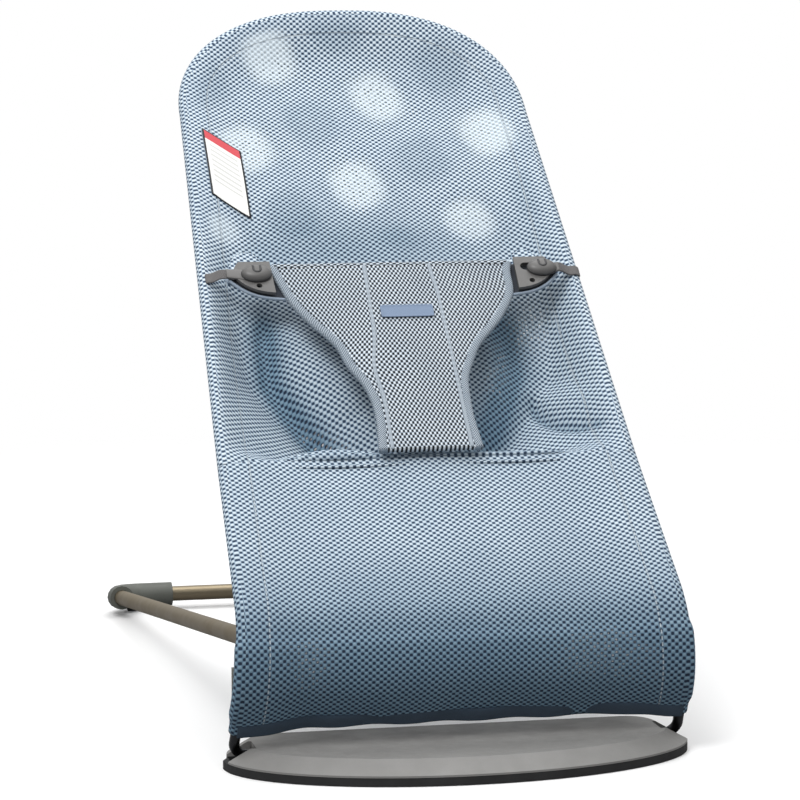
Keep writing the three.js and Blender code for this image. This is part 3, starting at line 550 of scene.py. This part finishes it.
def backrest_depth(x, s, half, edge):
    """How far the cloth hangs behind its edges: a light sag everywhere, and the seat pouch low down.
    The pouch is a back wall inside the U line of pouch_bend and side walls outside it.
    Beside a wire it can't fall faster than the wire lets it."""
    s = np.maximum(s - seam_height(x / half) + 1.5, 0)
    depth = 62 * np.clip(1 - s / 345, 0, 1) ** 1.6 * ease(s / 26)
    bend = pouch_bend(s)
    share = np.clip(np.abs(x) / bend, 0, 1)
    wall = np.clip((half - np.abs(x)) / np.maximum(half - bend, 6), 0, 1)
    pouch = depth * np.where(np.abs(x) < bend, 0.5 + 0.5 * share ** 2.4, wall ** 0.9)
    limit = HUG - np.sqrt(np.maximum(HUG ** 2 - np.minimum(edge, 4) ** 2, 0)) + 1.3 * np.maximum(edge - 4, 0)
    return np.minimum(pouch + 8 * ease(edge / 50), limit)


def u_fold(x, s, share, width):
    """Bell-shaped fold that runs at a share of the pouch's U line, on the side of the share's sign."""
    return np.exp(-((x - share * pouch_bend(s)) / width) ** 2) * ease((s - 30) / 30) * ease((196 - s) / 36)


def side_fold(x, s, width):
    """Fold along a quarter ellipse in the lower right wall: half axes 55 and 62 about (160, 100)."""
    ring = np.hypot((x - 160) / 55, (s - 100) / 62)
    return np.exp(-((ring - 1) * 58 / width) ** 2) * ease((166 - x) / 20) * ease((106 - s) / 20)


def clouds(x, s):
    """Slow waves, -1 to 1, for where the two layers of the backrest hang close or apart."""
    return np.sin(x / 23 + s / 61) * np.sin(s / 29 - x / 57) * ease((s - 215) / 60)


def fold_shade(x, s):
    """Painted shade in the folds of the pouch, in a darker patch in the middle of the backrest and a little below the
    head. Below 0 it is painted light.
    """
    left = u_fold(x, s, -0.84, 14) + 0.4 * u_fold(x, s, -0.84, 5)
    right = u_fold(x, s, 0.70, 20) + 0.6 * side_fold(x, s, 3.5)
    middle = 0.42 * np.exp(-((s - 250) / 40) ** 2 - ((x + 30) / 85) ** 2)
    cloud = clouds(x, s)
    # painted shade where the two layers of the head hang close, painted light where they hang apart
    patches = 0.25 * ease((-cloud - 0.2) / 0.6) - 0.55 * ease((cloud - 0.25) / 0.6)
    return np.clip(0.16 * ease((300 - s) / 60) + left + right + middle + patches, -1, 1)


def backrest_field(columns, d, head_rows):
    """Places of a backrest layer: x, s, point on the frame's plane, its front, and distance to the wire.
    Below the shoulder the rows are straight. The head maps the square (u, w) to the superellipse by
    x = u (1 - w^q / 2)^(1/p), level = w (1 - |u|^p / 2)^(1/q)."""
    u = np.linspace(-1, 1, columns)
    at, _, front = on_side(d)
    body = (len(d), len(u), 3)
    w = np.linspace(0, 1, head_rows)[1:, None]
    head_x = HEAD_HALF * u[None, :] * (1 - w ** HEAD_ALONG / 2) ** (1 / HEAD_ACROSS)
    level = w * (1 - np.abs(u[None, :]) ** HEAD_ACROSS / 2) ** (1 / HEAD_ALONG)
    yz, head_front = on_head(level)
    x = np.concatenate([u[None, :] * at[:, :1], head_x])
    s = np.concatenate([np.broadcast_to((d - CREASE_AT)[:, None], body[:2]), BACK_RISE + level * HEAD_RISE])
    base = np.concatenate([np.broadcast_to(at[:, None] * [0, 1, 1], body),
                           np.concatenate([np.zeros((*level.shape, 1)), yz], -1)])
    facing = np.concatenate([np.broadcast_to(front[:, None], body), head_front])
    rim = np.concatenate([np.stack([x[:, -1], s[:, -1]], -1), np.stack([x[-1, ::-1], s[-1, ::-1]], -1)])
    apart = np.min(np.hypot(np.abs(x)[..., None] - rim[:, 0], s[..., None] - rim[:, 1]), axis=-1)
    return x, s, base, facing, apart


def cover_upper():
    """From the crease up over the head arch, with the pouch and its folds."""
    d = np.linspace(CREASE_AT, SIDE_LENGTH, 112)
    x, s, base, facing, apart = backrest_field(99, d, 40)
    row_half = np.where(np.arange(len(x)) < len(d), np.abs(x[:, -1]), HEAD_HALF)
    half = np.broadcast_to(row_half[:, None], x.shape)
    depth = backrest_depth(x, s, half, apart)
    depth[:, 0] = depth[:, -1] = depth[-1] = 0
    depth[0] = 3.0 * ease(apart[0] / 40)
    depth = soften(depth, 4)
    depth += 2.6 * ease((12 - s) / 6) * ease(apart / 20)
    depth += 5.0 * side_fold(x, s, 4.5) * ease((apart - 8) / 16)
    depth -= 4.0 * ridge(x, s, (96, 112), (150, 56), 12)
    depth -= 9.0 * ridge(x, s, (-98, 168), (-42, 74), 22)
    depth += 7.0 * u_fold(x, s, -0.84, 8)
    depth += 4.5 * ridge(x, s, (92, 168), (98, 96), 11) - 3.5 * ridge(x, s, (72, 160), (74, 92), 10)
    depth += 1.6 * np.sin(x / 19 + s / 34) * np.sin(s / 47 - x / 40) * ease(apart / 60) * ease((s - 150) / 80)
    edge_off = HUG - np.where(apart < 0.01, 0, depth)
    points = base + x[..., None] * ACROSS + edge_off[..., None] * facing
    uv = np.stack([x, s + CREASE_AT], -1) / 1000
    # painted shade in the pouch folds and darker patches, painted light in the pale patches of the head, both fading
    # out at the wire
    shade = fold_shade(x, s) * ease((apart - 4) / 10)
    clear = ridge(x, s, (118, 188), (110, 138), 20) + ridge(x, s, (86, 150), (76, 86), 11)
    clear += 0.7 * ridge(x, s, (-104, 84), (-40, 40), 8)
    clear += ease((s - 215) / 60) * (0.2 + 0.8 * ease((clouds(x, s) + 0.05) / 0.5)) * ease((apart - 12) / 40)
    grids = [grid(points, uv, inboard=apart, shade=shade, open=np.clip(clear, 0, 1))]
    # the loop of the frame: up the left side, over the top, down the right side
    ring_x = np.concatenate([x[:, 0], x[-1, 1:-1], x[::-1, -1]])
    ring_s = np.concatenate([s[:, 0], s[-1, 1:-1], s[::-1, -1]])
    ring_base = np.concatenate([base[:, 0], base[-1, 1:-1], base[::-1, -1]]) + ring_x[:, None] * ACROSS
    ring_front = np.concatenate([facing[:, 0], facing[-1, 1:-1], facing[::-1, -1]])
    heading = unit(np.gradient(ring_base, axis=0))
    out = unit(np.cross(ring_front, heading))
    out *= np.sign(np.sum(out * (ring_base - ring_base.mean(0)), axis=1, keepdims=True))
    ones = np.ones(len(ring_x))
    inner = backrest_depth(np.abs(ring_x) - SLEEVE, ring_s, np.abs(ring_x), ones * SLEEVE) * (ring_s < BACK_RISE)
    inner = np.where(ring_s < BACK_RISE, inner, 3.0)
    back_off = np.clip(HUG - inner - 3.2, -30, 0)
    run = np.concatenate([[0], np.cumsum(np.linalg.norm(np.diff(ring_base, axis=0), axis=1))])
    grids.append(wrap_grid((ring_base, ring_front, out), run, 0.0, ones * HUG, ones * 2, ones * 180,
                           ones * SLEEVE, back_off))
    made = thicken(piece("cover_upper", grids, COVER_CLOTH), CLOTH)
    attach(made, "seat")
    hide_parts("cover_back_panel")


def cover_hood():
    """Rear pocket that holds the cover on the head arch: a sheet behind the wires, hemmed below."""
    d = np.linspace(CREASE_AT + HOOD_FROM, SIDE_LENGTH, 46)
    x, s, base, facing, apart = backrest_field(61, d, 30)
    slack = 7 * ease(apart / 70) + 3 * np.sin(x / 36) ** 2 * ease((330 - s) / 110) * ease(apart / 50)
    off = -(HUG + 1.9) - slack
    points = base + x[..., None] * ACROSS + off[..., None] * facing
    uv = np.stack([x, s], -1) / 1000
    made = thicken(piece("cover_hood", [grid(points, uv, inboard=apart)], COVER_CLOTH), 1.6)
    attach(made, "seat")
    hem = carried(oval(1.9, 6.5, 3), points[0], np.broadcast_to(-facing[0, 0], points[0].shape),
                  np.broadcast_to(BACK, points[0].shape))
    band = piece("hood_hem", [grid(hem, caps=True)], BINDING)
    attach(band, "seat")


def cover_trim():
    """Bound hem of the front panel, and the folded lip where front and pouch are sewn together."""
    at, up, front = on_side(np.array([HEM_FROM + 4]))
    x = np.linspace(-1, 1, 121) * (at[0, 0] + 0.5)
    inboard = at[0, 0] + 0.5 - np.abs(x)
    off = HUG + 0.6 - 7 * ease(inboard / 60) + 1.1 * np.sin(x / 8.5) * 0.85 * ease(inboard / 30)
    path = at[0] * [0, 1, 1] + x[:, None] * ACROSS + off[:, None] * front[0]
    band = carried(oval(1.5, 6.0, 3.2), path, spread(front[0], path), spread(up[0], path))
    hem = piece("cover_hem", [grid(band, caps=True)], HEM_TAPE)
    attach(hem, "lower_frame")

    reach = 124
    x = np.linspace(-1, 1, 141) * reach
    bulge = 3.6 * np.exp(-((x + 78) / 36) ** 2) + 0.8
    ends = np.sqrt(np.clip(1 - (x / reach) ** 6, 0.02, 1))
    path = on_seat(x, seam_height(x / 152) + bulge, -1.6 + 0.5 * np.sin(x / 13))
    half = np.stack([1.5 + 0.25 * bulge, 0.8 + bulge], -1) * ends[:, None]
    ring = tapered(oval(1.0, 1.0, 2.2), half, path, FRONT, BACK)
    around = np.cumsum(np.linalg.norm(np.diff(ring, axis=1, prepend=ring[:, :1]), axis=-1), axis=1)
    weave = np.stack([np.broadcast_to(x[:, None], around.shape), around], -1) / 1000
    # painted shade: the folded lip carries a fixed shade of 0.3
    fold = piece("crease_fold", [grid(ring, weave, caps=True, inboard=60.0, shade=0.3)], COVER_CLOTH)
    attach(fold, "seat")


# ---- harness -------------------------------------------------------------------------------------
# half width of the harness at heights s
HARNESS_HALF = np.array([(0, 41), (5, 40), (40, 37), (78, 39), (112, 54), (140, 78), (160, 90), (174, 95),
                         (186, 99), (196, 102), (204, 106)], float)


def harness_half(s):
    """Half width of the harness at height s: a smooth curve through its drawn points."""
    fine = np.linspace(0, HARNESS_TOP, 400)
    rough = np.interp(fine, HARNESS_HALF[:, 0], HARNESS_HALF[:, 1])
    kernel = np.hanning(61)
    padded = np.concatenate([np.full(30, rough[0]), rough, rough[-1] + (rough[-1] - rough[-31:-1])[::-1] * 0])
    evened = np.convolve(padded, kernel / kernel.sum(), mode="valid")[:len(fine)]
    return np.interp(s, fine, evened)


def harness_off(s):
    return HARNESS_OFF + np.asarray(s, float) * HARNESS_TILT


def on_harness(u, s, lift):
    """A point of the harness: u -1 to 1 across, s up, lift in front of its middle layer."""
    x = u * (harness_half(s) + 7.0 * np.exp(-((s - 92) / 24) ** 2) * (u < 0)
             - 7.0 * ease((s - 165) / 32) * (u > 0))
    belly = 1.5 * np.sin(np.pi * np.clip(s / HARNESS_TOP, 0, 1)) * (1 - u ** 2)
    return on_seat(x + HARNESS_SHIFT, s, harness_off(s) + HARNESS_THICK / 2 + belly + lift)


def harness():
    s = np.linspace(HARNESS_FROM, HARNESS_TOP, 90)[:, None]
    a = np.linspace(0, 2 * np.pi, 97)
    u, t = np.sign(np.cos(a)) * np.abs(np.cos(a)) ** 0.5, np.sin(a)
    lift = (2.3 * np.sign(t) * np.abs(t) ** 0.45)[None, :]
    at = on_harness(u[None, :] * np.ones_like(s), s * np.ones_like(u)[None, :], lift * np.ones_like(s))
    x = u[None, :] * harness_half(s)
    uv = np.stack([x, s * np.ones_like(x)], -1) / 1000
    panel = piece("harness", [grid(at, uv, caps=True)], HARNESS_CLOTH)
    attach(panel, "seat")
    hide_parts("harness_panel")

    rows = np.linspace(HARNESS_FROM, HARNESS_TOP - 1, 120)
    trims = []
    for name, side in (("left", -1), ("right", 1)):
        edge = on_harness(np.full_like(rows, side * 0.985), rows, 0.0)
        heading = unit(np.gradient(edge, axis=0))
        outward = unit(np.cross(heading, FRONT)) * -1
        outward *= np.sign(outward[:, :1] * side)
        bar = carried(oval(3.6, 2.9, 2.6), edge - outward * 1.5, outward, spread(FRONT, edge))
        trims.append(piece(f"harness_binding_{name}", [grid(bar, caps=True)], HARNESS_TAPE))
        lean = side * (31.5 - 3.7 * rows / HARNESS_TOP) + 0.5 + 1.7 * rows / HARNESS_TOP
        line = on_harness(lean / harness_half(rows), rows, 2.35)
        bar = carried(oval(1.35, 0.5, 3), line, spread(ACROSS, line), spread(FRONT, line))
        trims.append(piece(f"harness_seam_{name}", [grid(bar, caps=True)], SEAM_TAPE))
    across = np.linspace(-0.97, 0.97, 90)
    top = on_harness(across, np.full_like(across, HARNESS_TOP - 1.0), 0.0)
    bar = carried(oval(2.6, 2.9, 2.6), top, spread(BACK, top), spread(FRONT, top))
    trims.append(piece("harness_top_edge", [grid(bar, caps=True)], HARNESS_CLOTH))
    for trim in trims:
        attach(trim, "seat")


# ---- clips ---------------------------------------------------------------------------------------
# side, x and s of the button, last angle of the strap round the wire
CLIPS = {"left": (-1, 113.0, 190.0, 8), "right": (1, 122.0, 191.0, 62)}
BUTTON_X, BUTTON_Y, BUTTON_RISE = 12.0, 8.4, 5.2     # half axes and height of the dome
TAIL_END, STRAP_FROM = 137.0, 131.0


def dome(x, y):
    """Height of the button over its rim: rise (1 - rho^3.4)^0.55, rho from 0 in the middle to 1 at the rim."""
    rho = np.clip(np.hypot(x / BUTTON_X, y / BUTTON_Y), 0, 1)
    return BUTTON_RISE * (1 - rho ** 3.4) ** 0.55


def toggle_button(name):
    """Oval domed button with its U slot painted dark for the shade in it, a darker collar under it and a flat
    tapering tail to the strap.
    """
    side, knob_x, knob_s, _ = CLIPS[name]
    base = harness_off(KNOB_S) + 5.7
    rho = np.linspace(1, 0.0, 46)[:, None]
    phi = np.linspace(0, 2 * np.pi, 121)[None, :]
    x, y = BUTTON_X * rho * np.cos(phi), BUTTON_Y * rho * np.sin(phi)
    top = on_seat(side * knob_x + x, knob_s + y, base + 0.9 + dome(x, y))
    wall = on_seat(side * knob_x + BUTTON_X * np.cos(phi), knob_s + BUTTON_Y * np.sin(phi), base + 0.9 + 0 * phi)
    floor = on_seat(side * knob_x + 0 * phi, knob_s + 0 * phi, base + 0.9 + 0 * phi)
    cap = piece(f"button_{name}", [grid(np.concatenate([floor, wall, top[1:]]))], CLIP)
    # half axes and height of each ring: the stem first, at the CAD toggle's own place, then the flange
    stem_x, flange_x = side * KNOB_X, side * knob_x
    rings = [(stem_x, 0.01, 0.01, -5.5), (stem_x, 4.032, 3.8, -5.5), (stem_x, 4.032, 3.8, 0.0),
             (flange_x, 12.4, 8.8, 0.3), (flange_x, 12.4, 8.8, 1.2), (flange_x, 11.5, 8.0, 1.5),
             (flange_x, 0.01, 0.01, 1.5)]
    rows = [on_seat(middle + a * np.cos(phi), knob_s + b * np.sin(phi), base + h + 0 * phi)
            for middle, a, b, h in rings]
    collar = piece(f"button_collar_{name}", [grid(np.concatenate(rows))], CLIP_DARK)
    # the U slot, painted dark for its shade: a stroke down, a half circle and a stroke up, laid on the dome
    turn = np.linspace(np.pi, 2 * np.pi, 24)
    bow = np.stack([2.9 * np.cos(turn), 2.9 * np.sin(turn)], -1)
    mark = np.concatenate([[(-2.9, 4.6), (-2.9, 3.0), (-2.9, 1.4)], bow, [(2.9, 1.4), (2.9, 3.0), (2.9, 4.6)]])
    mark_x, mark_y = resample(mark, 48).T
    path = on_seat(side * knob_x + mark_x, knob_s + 0.6 + mark_y, base + 1.0 + dome(mark_x, mark_y + 0.6))
    heading = unit(np.gradient(path, axis=0))
    rail = carried(oval(0.95, 0.35, 2.5, 10), path, unit(np.cross(heading, FRONT)), spread(FRONT, path))
    slot = piece(f"button_slot_shade_{name}", [grid(rail, caps=True)], CLIP_DARK)
    start, end = knob_x + 6, TAIL_END
    run = np.linspace(start, end, 30)
    share = (run - start) / (end - start)
    path = on_seat(side * run, knob_s - 0.5 + 3.0 * share, base - 0.7 - 0.1 * share)
    half = np.stack([5.6 - 0.9 * share, 1.3 - 0.2 * share], -1)
    ring = tapered(oval(1.0, 1.0, 5, 24), half, path, BACK, FRONT)
    tail = piece(f"button_tail_{name}", [grid(ring, caps=True)], CLIP)
    for made in (cap, collar, tail, slot):
        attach(made, f"toggle_{name}")
    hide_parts(f"toggle_{name}")


def strap(name):
    """Elastic strap from the tail of the button to the wire, where it goes in round the sleeve."""
    side, _, knob_s, last = CLIPS[name]
    wire = on_side(CREASE_AT + knob_s)[0][..., 0]
    start_off = harness_off(KNOB_S) + 4.3
    turn = np.radians(np.linspace(-18, last, 16))
    radius = np.where(turn > math.radians(last) - 0.25, 4.6, 6.9)
    around = np.stack([wire + radius * np.sin(turn), radius * np.cos(turn)], -1)
    drop = start_off + (around[0, 1] - start_off) * ease(np.linspace(0, 1, 14))
    first = np.stack([np.linspace(STRAP_FROM, around[0, 0], 14), drop], -1)
    line = resample(np.concatenate([first[:-1], around]), 44)
    path = on_seat(side * line[:, 0], knob_s + 1.5 + 6.5 * ease((line[:, 0] - STRAP_FROM) / 12), line[:, 1])
    heading = unit(np.gradient(path, axis=0))
    out = unit(np.cross(heading, BACK)) * -side
    out *= np.sign(np.sum(out * FRONT, axis=1, keepdims=True) + 1e-6)
    band = carried(oval(5.0, 0.75, 6, 20), path, spread(BACK, path), out)
    made = piece(f"webbing_{name}", [grid(band, caps=True)], WEBBING)
    ends = [Vector(to_row(on_seat(side * x, knob_s, start_off)).tolist()) for x in (wire - 4, 133)]
    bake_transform(made)
    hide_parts(f"strap_{name}")


def clip_pocket(name):
    """Dark lining and piped edge of the harness pocket that holds the eye plate."""
    side = CLIPS[name][0]
    t = np.linspace(0, 1, 50)
    x = 92 + 43 * t
    s = 166.5 + 5.0 * t + 17.0 * t ** 3.2
    path = on_seat(side * x, s, harness_off(s) + 1.5 + 0 * s)
    heading = unit(np.gradient(path, axis=0))
    out = unit(np.cross(heading, FRONT))
    cord = piece(f"pocket_piping_{name}", [grid(carried(oval(1.3, 1.3, 2, 12), path, out, spread(FRONT, path)),
                                                caps=True)], BINDING)
    rows = np.linspace(0, 1, 12)[:, None]
    x, low = x[None, :], s[None, :]
    high = 202 - 8 * t[None, :] ** 3
    lining = piece(f"pocket_lining_{name}", [grid(on_seat(side * (x + 0 * rows), low + (high - low) * rows,
                                                         harness_off(low) + 0.6 + 0 * (low * rows)))], PIPING)
    thicken(lining, 1.0)
    for made in (cord, lining):
        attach(made, "seat")


# ---- label and tag -------------------------------------------------------------------------------
def label_print():
    """Plain sewn-in label: dark border, a coloured band at the top and faint ruled lines."""
    f = Finish("printed label", Roughness=0.6)
    split = f.node("SeparateXYZ", f.place("UV"))
    u, v = split.outputs[0], split.outputs[1]
    fibre = f.steps(f.noise(300, 2, where=f.place("UV")), 0.3, 0.7)
    paper = f.mix(fibre, srgb(232, 232, 228), srgb(220, 221, 218))
    rules = f.math("GREATER_THAN", f.math("SINE", f.math("MULTIPLY", v, 2 * math.pi * 13)), 0.35)
    body = f.math("MULTIPLY", f.math("LESS_THAN", v, 0.80), f.math("GREATER_THAN", v, 0.24))
    inside = f.math("LESS_THAN", f.math("ABSOLUTE", f.math("SUBTRACT", u, 0.5)), 0.36)
    lines = f.math("MULTIPLY", f.math("MULTIPLY", rules, body), inside)
    tone = f.mix(f.math("MULTIPLY", lines, 0.45), paper, srgb(150, 150, 150))
    tone = f.mix(f.math("GREATER_THAN", v, 0.86), tone, LABEL_RED)
    frame_u = f.math("GREATER_THAN", f.math("ABSOLUTE", f.math("SUBTRACT", u, 0.5)), 0.455)
    frame_v = f.math("GREATER_THAN", f.math("ABSOLUTE", f.math("SUBTRACT", v, 0.5)), 0.485)
    tone = f.mix(f.math("MAXIMUM", frame_u, frame_v), tone, LABEL_BLACK)
    f.bump(f.noise(900, 2, where=f.place("UV")), 0.03)
    return f.use(Base_Color=tone)


def care_label():
    """Slanted label sewn to the left of the backrest, which follows the cloth 1.9 mm in front of its middle."""
    u, v = np.linspace(0, 1, 17)[None, :], np.linspace(0, 1, 33)[:, None]
    x = -135 + 31 * u + 0 * v
    s = 300 + 77 * v - 22 * u
    half = on_side(CREASE_AT + s)[0][..., 0]
    edge = half - np.abs(x)
    off = HUG - backrest_depth(x, s, half, edge) + 1.9 + 0.5 * np.sin(v * 5) * u
    made = piece("sewn_label", [grid(on_seat(x, s, off), np.stack([u + 0 * v, v + 0 * u], -1))], label_print())
    thicken(made, 0.6)
    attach(made, "seat")
    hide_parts("care_label")


def woven_tag():
    """Blank woven tag on the harness: a thin rounded slab with a raised border."""
    u, v = np.linspace(-1, 1, 60)[None, :], np.linspace(-1, 1, 24)[:, None]
    x, y = 21.5 * u * (1 - 0.02 * v ** 8), 5.4 * v * (1 - 0.06 * u ** 8)
    border = ease((np.maximum(np.abs(u) ** 6, np.abs(v) ** 2.5) - 0.55) / 0.2)
    s = 146.5 + 1.15 * y + 0 * x
    at = on_seat(x + 3.2, s, harness_off(s) + HARNESS_THICK + 1.9 + 0.35 * border)
    made = piece("woven_tag", [grid(at)], TAG)
    thicken(made, 0.9)
    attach(made, "seat")
    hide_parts("harness_tag")


# ---- camera, light and floor ---------------------------------------------------------------------
def make_camera():
    azimuth, elevation, roll = math.radians(-11.52), math.radians(6.52), math.radians(-0.29)
    back = Vector((math.sin(azimuth) * math.cos(elevation), -math.cos(azimuth) * math.cos(elevation),
                   math.sin(elevation)))
    right = Vector((math.cos(azimuth), math.sin(azimuth), 0))
    up = back.cross(right)
    data = bpy.data.cameras.new("camera")
    data.sensor_width, data.lens = 36, 3081.6 / 800 * 36
    data.clip_start, data.clip_end = 0.05, 50
    camera = bpy.data.objects.new("camera", data)
    bpy.context.scene.collection.objects.link(camera)
    side = right * math.cos(roll) + up * math.sin(roll)
    head = up * math.cos(roll) - right * math.sin(roll)
    place = Vector((0.01867, 0.009, 0.23467)) + back * 2.5751
    camera.matrix_world = Matrix(((side.x, head.x, back.x, place.x), (side.y, head.y, back.y, place.y),
                                  (side.z, head.z, back.z, place.z), (0, 0, 0, 1)))
    bpy.context.scene.camera = camera


def make_floor():
    """A pale round floor that fades into the white surroundings."""
    f = Finish("pale floor", Roughness=0.9)
    seen = f.node("LightPath").outputs["Is Camera Ray"]
    f.use(Base_Color=f.mix(seen, (0.22, 0.22, 0.225, 1), (0.93, 0.93, 0.93, 1)))
    far = f.node("VectorMath", f.place(), operation="LENGTH").outputs["Value"]
    clear = f.node("BsdfTransparent")
    blend = f.node("MixShader", f.steps(far, 0.75, 1.7))
    f.tree.links.new(f.shader.outputs[0], blend.inputs[1])
    f.tree.links.new(clear.outputs[0], blend.inputs[2])
    f.tree.links.new(blend.outputs[0], f.tree.nodes["Material Output"].inputs["Surface"])
    radius, turn = np.linspace(0.001, 2000, 40)[:, None], np.linspace(0, 2 * np.pi, 73)[None, :]
    at = np.stack([radius * np.cos(turn), radius * np.sin(turn) - ORIGIN_Y, np.zeros((40, 73)) - 0.3], -1)
    floor = piece("floor", [grid(at)], f.material, smooth=False)


def make_light():
    """Bright soft light from above, weak light from the horizon, and a white surround to look at."""
    world = bpy.data.worlds.new("studio")
    bpy.context.scene.world = world
    world.use_nodes = True
    tree = world.node_tree
    tree.nodes.clear()
    new = tree.nodes.new
    where, split, ramp = new("ShaderNodeTexCoord"), new("ShaderNodeSeparateXYZ"), new("ShaderNodeMapRange")
    tree.links.new(where.outputs["Generated"], split.inputs[0])
    tree.links.new(split.outputs["Z"], ramp.inputs[0])
    ramp.interpolation_type = "SMOOTHSTEP"
    for socket, value in zip(range(1, 5), (-0.05, 0.85, 0.34, 1.05)):
        ramp.inputs[socket].default_value = value
    lit, seen, mix, path, out = (new("ShaderNodeBackground"), new("ShaderNodeBackground"), new("ShaderNodeMixShader"),
                                 new("ShaderNodeLightPath"), new("ShaderNodeOutputWorld"))
    tree.links.new(ramp.outputs[0], lit.inputs["Strength"])
    lit.inputs["Color"].default_value = (1, 1, 1, 1)
    seen.inputs["Color"].default_value = (1, 1, 1, 1)
    seen.inputs["Strength"].default_value = 1.0
    tree.links.new(path.outputs["Is Camera Ray"], mix.inputs[0])
    tree.links.new(lit.outputs[0], mix.inputs[1])
    tree.links.new(seen.outputs[0], mix.inputs[2])
    tree.links.new(mix.outputs[0], out.inputs["Surface"])
    for name, place, size, power in (("key", (-0.9, -1.1, 1.9), 1.2, 26), ("top", (0.3, 0.5, 2.2), 1.6, 14)):
        data = bpy.data.lights.new(name, "AREA")
        data.shape, data.size, data.energy = "DISK", size, power
        lamp = bpy.data.objects.new(name, data)
        lamp.location = place
        lamp.rotation_mode = "QUATERNION"
        lamp.rotation_quaternion = (Vector((0, 0, 0.25)) - Vector(place)).to_track_quat("-Z", "Y")
        bpy.context.scene.collection.objects.link(lamp)
    bpy.context.scene.view_settings.view_transform = "Standard"


make_camera()
make_floor()
make_light()
finish_nodes()
cover_lower()
cover_upper()
cover_hood()
cover_trim()
harness()
for clip in CLIPS:
    toggle_button(clip)
    strap(clip)
    clip_pocket(clip)
care_label()
woven_tag()
